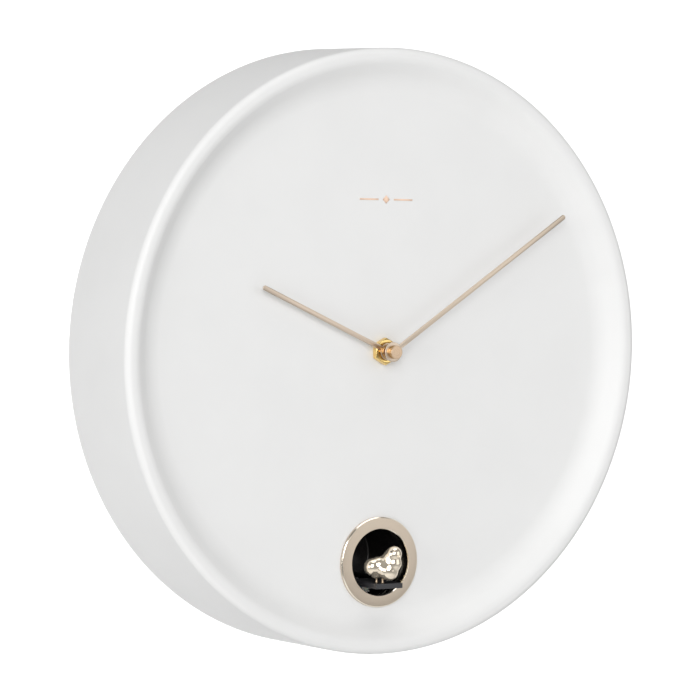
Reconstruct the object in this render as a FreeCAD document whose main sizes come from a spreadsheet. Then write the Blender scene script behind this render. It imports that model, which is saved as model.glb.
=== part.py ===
import FreeCAD, Part
import math
import os
import Sketcher

# Wall cuckoo clock with a dished round case, two hands and a small bird that slides out
# of a round port.  Millimetres.  The hand axis is the Y axis, the wall is the plane y = 0,
# the dial faces -Y and +Z is up.  "Depth" below is the distance in front of the wall (-y).

SIZES = {
    # case, one moulding with its dial
    "case_radius": 150.0,
    "case_taper": 0.8,
    "case_depth": 56.0,
    "wall": 2.6,
    "rim_width": 6.6,
    "rim_round": 3.1,
    "rim_ease": 6.0,
    "rim_slope": 9.8,
    "dish_depth": 8.6,
    "dish_round": 14.0,
    # rear cover and its fixings
    "cover_recess": 3.0,
    "cover_thick": 2.4,
    "cover_gap": 0.3,
    "boss_inset": 24.0,
    "boss_radius": 5.0,
    "screw_radius": 1.45,
    "screw_head": 3.2,
    "screw_grip": 9.0,
    "hanger_inset": 38.0,
    "hanger_thick": 1.5,
    "keyhole_radius": 4.5,
    "keyhole_slot": 4.4,
    "keyhole_travel": 9.0,
    "bumper_radius": 6.0,
    # clock movement and hub
    "movement_side": 56.0,
    "movement_depth": 15.0,
    "movement_wall": 1.5,
    "gasket_thick": 1.0,
    "bushing_radius": 4.0,
    "nut_flats": 11.8,
    "nut_thick": 3.6,
    "hour_pipe": 2.5,
    "minute_arbor_radius": 1.75,
    "running_gap": 0.07,
    "pivot_gap": 0.05,
    "fine_module": 0.25,
    "motion_module": 0.24,
    # hands
    "hand_width": 2.4,
    "hand_thick": 0.6,
    "hour_length": 79.1,
    "minute_length": 123.0,
    "hour_height": 4.5,
    "minute_height": 9.4,
    "cap_radius": 3.3,
    "cap_length": 2.9,
    # mark on the dial
    "mark_inset": 75.2,
    "mark_width": 31.0,
    # bird port, tunnel and sled
    "bird_inset": 45.7,
    "bezel_radius": 22.4,
    "bezel_bore": 16.3,
    "bezel_height": 2.0,
    "tunnel_bore": 19.4,
    "tunnel_wall": 1.6,
    "tunnel_back": 8.0,
    "perch_drop": 9.7,
    "perch_width": 15.4,
    "perch_thick": 2.5,
    "perch_reach": 10.6,
    "perch_length": 27.5,
    "bird_height": 17.0,
    "rack_module": 0.6,
    "drive_module": 0.4,
    "drive_setback": 13.9,
    "motor_radius": 5.5,
    "motor_length": 15.0,
    # sound, controls and supply
    "board_thick": 1.6,
    "board_depth": 14.0,
    "slider_travel": 4.0,
    "button_radius": 2.5,
    "speaker_radius": 23.0,
    "cell_radius": 7.25,
    "cell_length": 50.5,
    "cell_gap": 0.4,
    "door_gap": 0.3,
    "lead_radius": 1.1,
}

HOUR_ANGLE = 293.4
MINUTE_ANGLE = 56.2
FORWARD = FreeCAD.Rotation(FreeCAD.Vector(1, 0, 0), 90)
SIDEWAYS = FreeCAD.Rotation(FreeCAD.Vector(1, 1, 1), 120)
SEAM_CLEAR = FreeCAD.Rotation(FreeCAD.Vector(0, 0, 1), 57)

document = FreeCAD.newDocument("cuckoo_clock")
sheet = document.addObject("Spreadsheet::Sheet", "Sizes")
for row, (alias, length) in enumerate(SIZES.items(), start=1):
    sheet.set(f"A{row}", alias)
    sheet.set(f"B{row}", str(length))
    sheet.setAlias(f"B{row}", alias)
document.recompute()
pieces = []


class Length:
    """A number in mm that keeps the sheet expression it comes from, through sums and products."""

    def __init__(self, value, text):
        self.value = value
        self.text = text

    def __add__(self, other):
        return Length(self.value + number(other), f"({self.text} + {words(other)})")

    def __radd__(self, other):
        return Length(number(other) + self.value, f"({words(other)} + {self.text})")

    def __sub__(self, other):
        return Length(self.value - number(other), f"({self.text} - {words(other)})")

    def __rsub__(self, other):
        return Length(number(other) - self.value, f"({words(other)} - {self.text})")

    def __mul__(self, other):
        return Length(self.value * number(other), f"({self.text} * {words(other)})")

    __rmul__ = __mul__

    def __truediv__(self, other):
        return Length(self.value / number(other), f"({self.text} / {words(other)})")

    def __neg__(self):
        return Length(-self.value, f"(0 - {self.text})")


def number(length):
    """The plain number behind a length."""
    return length.value if isinstance(length, Length) else float(length)


def words(length):
    """The sheet expression behind a length."""
    return length.text if isinstance(length, Length) else f"({float(length):.6f})"


def size(alias):
    """One of the sheet's sizes."""
    return Length(float(sheet.get(alias)), "Sizes." + alias)


def bind(item, **lengths):
    """Tie properties of an item to the sheet."""
    for name, length in lengths.items():
        item.setExpression(name, words(length))
    return item


def place(item, x, depth, z, rotation=None):
    """Put an item's own origin at a point, given by its depth in front of the wall."""
    if rotation is not None:
        item.Placement = FreeCAD.Placement(FreeCAD.Vector(0, 0, 0), rotation)
    for axis, length in (("x", x), ("y", -depth), ("z", z)):
        item.setExpression("Placement.Base." + axis, words(length))
    return item


def rod(radius, back, length, x=0, z=0):
    """A round bar that runs forward from depth `back`."""
    bar = document.addObject("Part::Cylinder", "rod")
    bind(bar, Radius=radius, Height=length)
    return place(bar, x, back, z, FORWARD)


def cross_rod(radius, x, length, depth, z):
    """A round bar that runs to the right from x."""
    bar = document.addObject("Part::Cylinder", "cross_rod")
    bind(bar, Radius=radius, Height=length)
    return place(bar, x, depth, z, SIDEWAYS)


def upright(radius, z, height, x, depth):
    """A round bar that runs up from z."""
    bar = document.addObject("Part::Cylinder", "upright")
    bind(bar, Radius=radius, Height=height)
    return place(bar, x, depth, z)


def taper(back_radius, front_radius, back, length, x=0, z=0):
    """A cone frustum that runs forward from depth `back`."""
    cone = document.addObject("Part::Cone", "taper")
    bind(cone, Radius1=back_radius, Radius2=front_radius, Height=length)
    return place(cone, x, back, z, FORWARD)


def block(x, width, back, thick, z, height):
    """A box from its left edge, its rear depth and its lower edge."""
    box = document.addObject("Part::Box", "block")
    bind(box, Length=width, Width=thick, Height=height)
    return place(box, x, back + thick, z)


def ball(radius, x, depth, z):
    """A sphere, turned so that its seam stays clear of the spheres joined to it."""
    shape = document.addObject("Part::Sphere", "ball")
    bind(shape, Radius=radius)
    return place(shape, x, depth, z, SEAM_CLEAR)


def fuse(*items):
    """One solid from several."""
    joined = document.addObject("Part::MultiFuse", "fuse")
    joined.Shapes = list(items)
    return joined


def gather(*items):
    """Several separate solids in one node."""
    group = document.addObject("Part::Compound", "gather")
    group.Links = list(items)
    return group


def cut(base, *tools):
    """A solid less others."""
    left = document.addObject("Part::Cut", "cut")
    left.Base = base
    left.Tool = tools[0] if len(tools) == 1 else fuse(*tools)
    return left


def tube(outer, inner, back, length, x=0, z=0):
    """A pipe that runs forward from depth `back`."""
    return cut(rod(outer, back, length, x, z), rod(inner, back - 1, length + 2, x, z))


def name_piece(item, name):
    """Name a finished piece and list it for writing."""
    item.Label = name
    pieces.append(item)
    return item


def revolved_body(name, corners):
    """A PartDesign body turned about the hand axis from corners given as (radius, depth)."""
    body = document.addObject("PartDesign::Body", name)
    plane = [item for item in body.Origin.OriginFeatures if item.Role == "XY_Plane"][0]
    sketch = body.newObject("Sketcher::SketchObject", name + "_profile")
    sketch.AttachmentSupport = [(plane, "")]
    sketch.MapMode = "FlatFace"
    points = [FreeCAD.Vector(number(radius), -number(depth), 0) for radius, depth in corners]
    count = len(points)
    for index in range(count):
        sketch.addGeometry(Part.LineSegment(points[index], points[(index + 1) % count]), False)
    for index in range(count):
        sketch.addConstraint(Sketcher.Constraint("Coincident", index, 2, (index + 1) % count, 1))
    for index, (radius, depth) in enumerate(corners):
        if number(radius) == 0:
            sketch.addConstraint(Sketcher.Constraint("PointOnObject", index, 1, -2))
        else:
            across = sketch.addConstraint(
                Sketcher.Constraint("DistanceX", -1, 1, index, 1, number(radius)))
            sketch.setExpression(f"Constraints[{across}]", words(radius))
        if number(depth) == 0:
            sketch.addConstraint(Sketcher.Constraint("PointOnObject", index, 1, -1))
        else:
            along = sketch.addConstraint(
                Sketcher.Constraint("DistanceY", index, 1, -1, 1, number(depth)))
            sketch.setExpression(f"Constraints[{along}]", words(depth))
    turn = body.newObject("PartDesign::Revolution", name + "_turn")
    turn.Profile = sketch
    turn.ReferenceAxis = (sketch, ["V_Axis"])
    turn.Angle = 360
    body.Tip = turn
    document.recompute()
    return body


def round_edge(body, radius, depth, fillet):
    """Fillet the circular edges of a revolved body that pass through (radius, depth)."""
    base = body.Tip
    names = []
    for index, edge in enumerate(base.Shape.Edges, start=1):
        curve = edge.Curve
        if isinstance(curve, Part.Circle) and abs(curve.Radius - number(radius)) < 0.01:
            if abs(-curve.Center.y - number(depth)) < 0.01:
                names.append(f"Edge{index}")
    rounding = body.newObject("PartDesign::Fillet", "rounding")
    rounding.Base = (base, names)
    bind(rounding, Radius=fillet)
    body.Tip = rounding
    document.recompute()


def gear_outline(teeth, module, phase):
    """Corners of a gear: straight-sided teeth on a circle, the first one at angle `phase`."""
    pitch = 2 * math.pi / teeth
    tip = module * (teeth / 2 + 0.8)
    root = module * (teeth / 2 - 1.1)
    corners = []
    for tooth in range(teeth):
        middle = math.radians(phase) + tooth * pitch
        for radius, share in ((root, -0.25), (tip, -0.1), (tip, 0.1), (root, 0.25)):
            angle = middle + share * pitch
            corners.append(FreeCAD.Vector(radius * math.cos(angle), radius * math.sin(angle), 0))
    return corners


def gear(teeth, module, phase, bore, x, depth, z, thick, rotation=FORWARD):
    """A toothed disc with a bore, standing forward of `depth` or to the right of x."""
    corners = gear_outline(teeth, number(module), phase)
    disc = Part.Face(Part.makePolygon(corners + corners[:1]))
    disc = disc.cut(Part.Face(Part.Wire(Part.makeCircle(number(bore)))))
    item = document.addObject("Part::Feature", "gear")
    item.Shape = disc.extrude(FreeCAD.Vector(0, 0, number(thick)))
    return place(item, x, depth, z, rotation)


def mated_phase(phase, teeth, mate_teeth, direction):
    """The phase of a mating gear, seen at angle `direction` from the first, to be in mesh."""
    pitch = 360 / teeth
    offset = (phase - direction + pitch / 2) % pitch - pitch / 2
    return direction + 180 - offset * teeth / mate_teeth + 180 / mate_teeth


def lead(points, bend):
    """A wire of straight runs joined by tangent arcs; points are (x, depth, z)."""
    corners = [FreeCAD.Vector(number(x), -number(depth), number(z)) for x, depth, z in points]
    edges = []
    start = corners[0]
    for before, corner, after in zip(corners, corners[1:], corners[2:]):
        into = (before - corner).normalize()
        out = (after - corner).normalize()
        half = math.acos(max(-1.0, min(1.0, into.dot(out)))) / 2
        reach = bend / math.tan(half)
        first = corner + into * reach
        last = corner + out * reach
        bisector = (into + out).normalize()
        middle = corner + bisector * (bend / math.sin(half) - bend)
        edges.append(Part.LineSegment(start, first).toShape())
        edges.append(Part.Arc(first, middle, last).toShape())
        start = last
    edges.append(Part.LineSegment(start, corners[-1]).toShape())
    path = Part.Wire(edges)
    circle = Part.Wire(Part.makeCircle(number(size("lead_radius")), corners[0],
                                       corners[1] - corners[0]))
    item = document.addObject("Part::Feature", "lead")
    item.Shape = path.makePipeShell([circle], True, True)
    length = sum(edge.Length for edge in edges)
    print(f"lead: {length:.1f} mm long, bends {bend} mm, volume over section times length "
          f"{item.Shape.Volume / (length * math.pi * number(size('lead_radius')) ** 2):.4f}")
    return item


# ---------------------------------------------------------------- places taken from the sizes
case_radius = size("case_radius")
wall = size("wall")
rim_outer = case_radius - size("case_taper")
rim_inner = rim_outer - size("rim_width")
dish_radius = rim_inner - size("rim_slope")
dial_front = size("case_depth") - size("dish_depth")
dial_back = dial_front - wall
cover_back = size("cover_recess")
cover_front = cover_back + size("cover_thick")
bird_z = size("bird_inset") - case_radius
boss_circle = case_radius - size("boss_inset")
hanger_rise = case_radius - size("hanger_inset")
bumper_z = 32 - case_radius
mark_rise = case_radius - size("mark_inset")

movement_front_face = dial_back - size("gasket_thick")
movement_back_face = movement_front_face - size("movement_depth")
movement_inner_front = movement_front_face - size("movement_wall")
movement_inner_back = movement_back_face + size("movement_wall")
half_movement = size("movement_side") / 2

fine = size("fine_module")
motion_module = size("motion_module")
bushing_flange = 0.9
gear_thick = 0.7
pinion_thick = 1.3
hour_layer = movement_inner_front - 2.0
motion_layer = movement_inner_front - 3.9
centre_layer = movement_inner_front - 6.1
third_layer = movement_inner_front - 8.9

third_direction = 150
rotor_direction = 200
motion_direction = -60
set_direction = -90
third_distance = fine * 36
rotor_distance = fine * 34
motion_distance = fine * 24


def beside(x, z, distance, direction):
    """A point at a distance and direction in the plane of the dial."""
    angle = math.radians(direction)
    return x + distance * math.cos(angle), z + distance * math.sin(angle)


third_x, third_z = beside(0, 0, third_distance, third_direction)
rotor_x, rotor_z = beside(third_x, third_z, rotor_distance, rotor_direction)
motion_x, motion_z = beside(0, 0, motion_distance, motion_direction)
set_x, set_z = beside(motion_x, motion_z, motion_distance, set_direction)

hour_hand_depth = dial_front + size("hour_height")
minute_hand_depth = dial_front + size("minute_height")
hand_thick = size("hand_thick")

perch_top = bird_z - size("perch_drop")
perch_bottom = perch_top - size("perch_thick")
perch_front = dial_front + size("perch_reach")
rack_module = size("rack_module")
drive_module = size("drive_module")
drive_z = perch_bottom + rack_module - rack_module * 5
drive_depth = dial_front - size("drive_setback")
drive_wheel_x = size("tunnel_bore") + size("tunnel_wall") - 1.4
motor_depth = drive_depth - drive_module * 12
motor_z = drive_z - drive_module * 16
bracket_x = drive_wheel_x + 2.4
bracket_thick = 1.2

board_x = -102
board_z = 4
board_back = size("board_depth")
board_front = board_back + size("board_thick")
slider_x, slider_z = -88, 32
button_x, button_z = -64, 32
speaker_x = case_radius * -0.46667
speaker_z = case_radius * -0.3

tray_wall = 1.5
cell_pitch = size("cell_radius") * 2 + size("cell_gap")
tray_width = cell_pitch * 3 + size("cell_gap") + tray_wall * 2
tray_height = size("cell_length") + 5.5 + tray_wall * 2
tray_x = half_movement + 14
tray_z = -(tray_height / 2)
cell_depth = cover_front + 0.6 + size("cell_radius")
tray_floor = cell_depth + size("cell_radius") + 0.4


# ---------------------------------------------------------------- case
def make_case():
    """Case: side wall, rounded rim, sloping dish and flat dial in one moulding."""
    rim_shift = wall * 0.38
    front = size("case_depth")
    body = revolved_body("case_turning", [
        (case_radius - wall, 0), (case_radius, 0), (rim_outer, front), (rim_inner, front),
        (dish_radius, dial_front), (0, dial_front), (0, dial_back),
        (dish_radius + rim_shift, dial_back), (rim_inner + rim_shift, front - wall),
        (rim_outer - wall, front - wall)])
    round_edge(body, rim_outer, front, size("rim_round"))
    round_edge(body, rim_inner, front, size("rim_ease"))
    round_edge(body, dish_radius, dial_front, size("dish_round"))
    bosses = []
    pilots = []
    for angle in (45, 135, 225, 315):
        x, z = beside(0, 0, boss_circle, angle)
        bosses.append(rod(size("boss_radius"), cover_front, dial_back - cover_front + 0.5, x, z))
        pilots.append(rod(size("screw_radius") + size("pivot_gap"), cover_front - 1,
                          size("screw_grip") + 2, x, z))
    for x, z in bracket_screw_places():
        bosses.append(rod(3.2, bracket_foot_front, dial_back - bracket_foot_front + 0.5, x, z))
        pilots.append(rod(1.25, bracket_foot_front - 1, 4.6, x, z))
    hub_hole = rod(size("bushing_radius") + 0.15, dial_back - 1, wall + 2)
    port = rod(size("bezel_bore") + 1.9, dial_back - 1, wall + 2, 0, bird_z)
    name_piece(cut(fuse(body, *bosses), hub_hole, port, *pilots), "case_shell")


bracket_foot_front = dial_back - 5.0


def bracket_screw_places():
    """Centres of the two screws that hold the motor bracket to the dial's back."""
    x = bracket_x + 7
    return (x, bird_z + 1.2), (x, bird_z - 7.8)


def make_dial_mark():
    """Foil mark: a lozenge between two short bars."""
    half = size("mark_width") / 2
    foil = 0.12
    bar_length = half - 4.5
    lozenge = block(-1.5, 3.0, dial_front, foil, -1.5, 3.0)
    turned = gather(lozenge)
    turned.Placement = FreeCAD.Placement(FreeCAD.Vector(0, 0, 0),
                                         FreeCAD.Rotation(FreeCAD.Vector(0, 1, 0), 45))
    bind(turned, **{"Placement.Base.z": mark_rise})
    left = block(-half, bar_length, dial_front, foil, mark_rise - 0.4, 0.8)
    right = block(4.5, bar_length, dial_front, foil, mark_rise - 0.4, 0.8)
    name_piece(gather(turned, left, right), "dial_mark")


def make_rear_cover():
    """Rear cover: a recessed disc with the openings for hanger, knob, controls and cells."""
    disc = rod(case_radius - wall - size("cover_gap"), cover_back, size("cover_thick"))
    thick = size("cover_thick")
    through = cover_back - 1
    deep = thick + 2
    posts = []
    for x in (board_x + 4, board_x + 46):
        for z in (board_z + 4, board_z + 36):
            posts.append(rod(2.4, cover_front - 0.4, board_back - cover_front + 0.4, x, z))
    openings = [rod(13.0, through, deep, set_x, set_z)]
    for angle in (45, 135, 225, 315):
        x, z = beside(0, 0, boss_circle, angle)
        openings.append(rod(size("screw_radius") + 0.2, through, deep, x, z))
    rise = hanger_rise
    openings.append(block(-7, 14, through, deep, rise - 7, size("keyhole_travel") + 11))
    for x in (-15, 15):
        openings.append(rod(1.25, through, deep, x, rise + 3))
    slot = size("slider_travel") + 3.4
    openings.append(block(slider_x - slot, slot * 2, through, deep, slider_z - 2.3, 4.6))
    openings.append(rod(size("button_radius") + 0.3, through, deep, button_x, button_z))
    for step in range(-3, 4):
        half = math.sqrt(17.0 ** 2 - (step * 4.5) ** 2)
        openings.append(block(speaker_x - half, 2 * half, through, deep,
                              speaker_z + step * 4.5 - 1.0, 2.0))
    gap = size("door_gap")
    openings.append(block(door_x - gap, door_width + gap * 2, through, deep,
                          door_z - gap, door_height + gap * 2))
    openings.append(upright(0.75 + size("pivot_gap"), door_z - 2.6, door_height + 5.2,
                            hinge_x, hinge_depth))
    name_piece(cut(fuse(disc, *posts), *openings), "rear_cover")


door_width = tray_width - tray_wall * 2 - 1.0
door_height = tray_height - tray_wall * 2 - 2.0
door_x = tray_x + (tray_width - door_width) / 2
door_z = -(door_height / 2)
hinge_x = door_x + 1.1
hinge_depth = cover_back + 1.2


def make_battery_door():
    """Battery door: a plate on two stub pins, with a thumb notch at its free edge."""
    plate = block(hinge_x, door_width - 1.1, cover_back, 1.8, door_z, door_height)
    pins = upright(0.75, door_z - 1.8, door_height + 3.6, hinge_x, hinge_depth)
    barrel = upright(1.1, door_z, door_height, hinge_x, hinge_depth)
    notch = rod(6.0, cover_back - 0.5, 1.2, door_x + door_width + 2.5, 0)
    name_piece(cut(fuse(plate, barrel, pins), notch), "battery_door")


def make_screws():
    """Cover screws, and the small screws of the hanger plate and the motor bracket."""
    screws = []
    grip = size("screw_grip")
    for angle in (45, 135, 225, 315):
        x, z = beside(0, 0, boss_circle, angle)
        shank = rod(size("screw_radius"), cover_back - 0.5, size("cover_thick") + grip, x, z)
        head = rod(size("screw_head"), cover_back - 1.9, 1.9, x, z)
        recess = rod(0.9, cover_back - 2.0, 1.0, x, z)
        screws.append(cut(fuse(shank, head), recess))
    name_piece(gather(*screws), "cover_screws")
    places = [(x, cover_back - size("hanger_thick"), hanger_rise + 3) for x in (-15, 15)]
    places += [(x, bracket_foot_front - 1.5, z) for x, z in bracket_screw_places()]
    small = []
    for x, seat, z in places:
        small.append(fuse(rod(1.2, seat - 0.3, 5.4, x, z), rod(2.4, seat - 1.1, 1.1, x, z)))
    name_piece(gather(*small), "small_screws")


def make_hanger():
    """Hanger: a steel plate with a keyhole for the wall screw."""
    rise = hanger_rise
    back = cover_back - size("hanger_thick")
    thick = size("hanger_thick")
    plate = block(-20, 40, back, thick, rise - 9, size("keyhole_travel") + 15)
    entry = rod(size("keyhole_radius"), back - 1, thick + 2, 0, rise)
    width = size("keyhole_slot")
    slot = block(-(width / 2), width, back - 1, thick + 2, rise, size("keyhole_travel"))
    seat = rod(width / 2, back - 1, thick + 2, 0, rise + size("keyhole_travel"))
    holes = [rod(1.25, back - 1, thick + 2, x, rise + 3) for x in (-15, 15)]
    name_piece(cut(plate, entry, slot, seat, *holes), "hanger_plate")
    pads = [rod(size("bumper_radius"), 0, cover_back, x, bumper_z) for x in (-55, 55)]
    name_piece(gather(*pads), "wall_bumpers")


# ---------------------------------------------------------------- clock movement
def make_movement_case():
    """Movement case: a front tray and a back plate, with holes for the pivots."""
    side = size("movement_side")
    skin = size("movement_wall")
    front = block(-half_movement, side, movement_inner_back,
                  movement_front_face - movement_inner_back, -half_movement, side)
    room = block(-half_movement + skin, side - skin * 2, movement_inner_back - 1,
                 movement_inner_front - movement_inner_back + 1,
                 -half_movement + skin, side - skin * 2)
    stud = rod(0.8, motion_layer - 0.2, movement_inner_front - motion_layer + 0.7,
               motion_x, motion_z)
    holes = [rod(size("bushing_radius") + 0.05, movement_inner_front - 1, skin + 2)]
    for x, z in ((third_x, third_z), (rotor_x, rotor_z), (set_x, set_z)):
        holes.append(rod(0.4 + size("pivot_gap"), movement_inner_front - 0.5, 1.3, x, z))
    name_piece(cut(fuse(cut(front, room), stud), *holes), "movement_front")
    back = block(-half_movement, side, movement_back_face, skin, -half_movement, side)
    lugs = [block(x, 4, movement_back_face, 6, z, 1.5)
            for x in (-20, 16) for z in (-half_movement - 1.5, half_movement)]
    gap = size("pivot_gap")
    pivots = [rod(0.8 + gap, movement_back_face + 0.4, skin, 0, 0),
              rod(1.0 + gap, movement_back_face - 1, skin + 2, set_x, set_z)]
    for x, z in ((third_x, third_z), (rotor_x, rotor_z)):
        pivots.append(rod(0.4 + gap, movement_back_face + 0.4, skin, x, z))
    name_piece(cut(fuse(back, *lugs), *pivots), "movement_back")


def make_hub():
    """Gasket, threaded bushing and the hex nut that clamps the dial."""
    radius = size("bushing_radius")
    gasket = tube(10, radius + 0.1, movement_front_face, size("gasket_thick"))
    name_piece(gasket, "movement_gasket")
    flange = rod(5.0, movement_inner_front - bushing_flange, bushing_flange)
    stem = rod(radius, movement_inner_front - 0.1, dial_front - movement_inner_front + size("nut_thick"))
    bore = rod(size("hour_pipe") + size("running_gap"), movement_inner_front - 2, 20)
    name_piece(cut(fuse(flange, stem), bore), "threaded_bushing")
    nut = document.addObject("Part::Prism", "nut_blank")
    nut.Polygon = 6
    bind(nut, Circumradius=size("nut_flats") / 2 / math.cos(math.pi / 6),
         Height=size("nut_thick"))
    upright_hex = FORWARD.multiply(FreeCAD.Rotation(FreeCAD.Vector(0, 0, 1), 30))
    place(nut, 0, dial_front, 0, upright_hex)
    thread = rod(radius + 0.03, dial_front - 1, size("nut_thick") + 2)
    name_piece(cut(nut, thread), "hex_nut")


def make_stepper():
    """Stepper: stator plate with its core, coil, magnet rotor and driver board."""
    layer = centre_layer - 0.4
    left = rotor_x - 10
    plate = block(left, 14.4, layer, 0.8, rotor_z - 5.6, 10.6)
    left_leg = block(left, 3.0, layer, 0.8, rotor_z - 20.5, 15)
    right_leg = block(left + 11.4, 3.0, layer, 0.8, rotor_z - 20.5, 15)
    core = block(left, 14.4, layer - 0.8, 0.8, rotor_z - 17.6, 2.0)
    eye = rod(3.6, layer - 1, 3, rotor_x, rotor_z)
    name_piece(cut(fuse(plate, left_leg, right_leg, core), eye), "stator")
    coil_x = left + 3.2
    coil_z = rotor_z - 16.6
    slot = block(coil_x - 1, 10, layer - 1.0, 1.2, coil_z - 1.2, 2.4)
    drum = cross_rod(2.0, coil_x, 8.0, layer - 0.4, coil_z)
    ends = [cross_rod(4.4, x, 0.6, layer - 0.4, coil_z) for x in (coil_x, coil_x + 7.4)]
    name_piece(cut(fuse(drum, *ends), slot), "coil_bobbin")
    winding = cut(cross_rod(4.0, coil_x + 0.65, 6.7, layer - 0.4, coil_z),
                  cross_rod(2.03, coil_x, 8.0, layer - 0.4, coil_z))
    name_piece(winding, "coil_winding")
    board = block(6, 18, movement_inner_back, 0.8, 9, 15)
    chip = rod(2.6, movement_inner_back + 0.7, 1.1, 12, 17)
    name_piece(fuse(board, chip), "movement_board")
    magnet = cut(rod(3.0, layer - 0.6, 2.2, rotor_x, rotor_z),
                 rod(0.52, layer - 2, 5, rotor_x, rotor_z))
    name_piece(magnet, "rotor_magnet")


def make_train():
    """Wheels from the rotor to the hour pipe.  Wheels and pinions have straight-sided teeth."""
    long_pivot = movement_inner_front - movement_inner_back + 1.0
    pivot_back = movement_inner_back - 0.5
    third_phase = third_direction + 180
    centre_phase = mated_phase(third_phase, 8, 64, third_direction + 180)
    rotor_phase = mated_phase(rotor_direction, 60, 8, rotor_direction)

    rotor_pinion = gear(8, fine, rotor_phase, 0.2, rotor_x, third_layer - 0.3, rotor_z,
                        pinion_thick)
    name_piece(fuse(rotor_pinion, rod(0.5, pivot_back + 1.0, long_pivot - 2.0, rotor_x, rotor_z),
                    rod(0.4, pivot_back, long_pivot, rotor_x, rotor_z)), "rotor_pinion")

    third_wheel = gear(60, fine, rotor_direction, 0.87, third_x, third_layer, third_z, gear_thick)
    name_piece(third_wheel, "third_wheel")
    third_pinion = gear(8, fine, third_phase, 0.2, third_x, centre_layer - 0.3, third_z,
                        pinion_thick)
    name_piece(fuse(third_pinion, rod(0.4, pivot_back, long_pivot, third_x, third_z),
                    rod(0.85, third_layer - 0.8, centre_layer - third_layer + 0.6,
                        third_x, third_z)), "third_pinion")

    name_piece(gear(64, fine, centre_phase, 1.02, 0, centre_layer, 0, gear_thick),
               "centre_wheel")
    motion_phase = motion_direction + 180
    cannon_phase = mated_phase(motion_phase, 36, 12, motion_direction + 180)
    cannon = gear(12, fine, cannon_phase, 0.4, 0, motion_layer - 0.2, 0, 1.1)
    radius = size("minute_arbor_radius")
    cap_back = minute_hand_depth + hand_thick / 2
    name_piece(fuse(rod(0.8, movement_back_face + 0.6, motion_layer - movement_back_face),
                    rod(1.0, third_layer + 1.2, motion_layer - third_layer - 1.0),
                    cannon,
                    rod(radius, motion_layer + 0.9, cap_back - motion_layer - 0.9),
                    rod(1.4, cap_back - 0.1, 2.3)), "minute_arbor")

    hour_gear = gear(40, motion_module, 0, 1.9, 0, hour_layer, 0, gear_thick)
    pipe_end = hour_hand_depth + 1.4
    pipe = rod(size("hour_pipe"), hour_layer - 0.2, pipe_end - hour_layer + 0.2)
    pipe_bore = rod(radius + size("running_gap"), hour_layer - 2, 30)
    name_piece(cut(fuse(hour_gear, pipe), pipe_bore), "hour_wheel")

    wheel = gear(36, fine, motion_phase, 0.85, motion_x, motion_layer, motion_z, gear_thick)
    hour_mate = mated_phase(0, 40, 10, motion_direction)
    pinion = gear(10, motion_module, hour_mate, 0.85, motion_x, motion_layer + 0.6, motion_z,
                  movement_inner_front - bushing_flange - 0.9 - motion_layer)
    name_piece(fuse(wheel, pinion), "motion_wheel")

    set_phase = mated_phase(motion_phase, 36, 12, set_direction)
    set_pinion = gear(12, fine, set_phase, 0.4, set_x, motion_layer - 0.2, set_z, 1.1)
    knob_front = movement_back_face - 0.6
    name_piece(fuse(set_pinion,
                    rod(1.0, knob_front - 8, motion_layer - knob_front + 8, set_x, set_z),
                    rod(0.4, motion_layer, movement_inner_front - motion_layer + 0.4,
                        set_x, set_z)), "set_arbor")
    knob_back = cover_front + 2.4
    knob = fuse(rod(7.0, knob_back, 8.0, set_x, set_z),
                rod(3.2, knob_back, knob_front - knob_back, set_x, set_z))
    flutes = []
    for step in range(18):
        x, z = beside(set_x, set_z, 7.5, step * 20)
        flutes.append(rod(0.9, knob_back - 1, 7.5, x, z))
    shaft_hole = rod(1.02, knob_front - 8.1, 10, set_x, set_z)
    name_piece(cut(knob, shaft_hole, *flutes), "set_knob")


def make_hand(name, length, depth, eye, bore, angle):
    """A straight bar with a round end and a round eye, made at twelve o'clock and turned."""
    width = size("hand_width")
    back = depth - hand_thick / 2
    bar = block(-(width / 2), width, back, hand_thick, 0, length - width / 2)
    end = rod(width / 2, back, hand_thick, 0, length - width / 2)
    hand = cut(fuse(bar, end, rod(eye, back, hand_thick)), rod(bore, back - 1, 3))
    hand.Placement = FreeCAD.Placement(FreeCAD.Vector(0, 0, 0),
                                       FreeCAD.Rotation(FreeCAD.Vector(0, 1, 0), angle))
    name_piece(hand, name)


def make_hands():
    """Both hands, their collets and the cap nut."""
    fit = 0.02
    pipe = size("hour_pipe")
    arbor = size("minute_arbor_radius")
    half = hand_thick / 2
    make_hand("hour_hand", size("hour_length"), hour_hand_depth, 4.2, pipe + fit, HOUR_ANGLE)
    name_piece(gather(tube(3.7, pipe + fit, hour_hand_depth + half, 1.1)), "hour_collet")
    make_hand("minute_hand", size("minute_length"), minute_hand_depth, 4.9, arbor + fit,
              MINUTE_ANGLE)
    name_piece(gather(tube(3.2, arbor + fit, minute_hand_depth - half - 1.2, 1.2)),
               "minute_collet")
    cap_back = minute_hand_depth + half
    cap = rod(size("cap_radius"), cap_back, size("cap_length"))
    name_piece(cut(cap, rod(1.4 + fit, cap_back - 1, 3.3)), "hand_cap")


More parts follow.
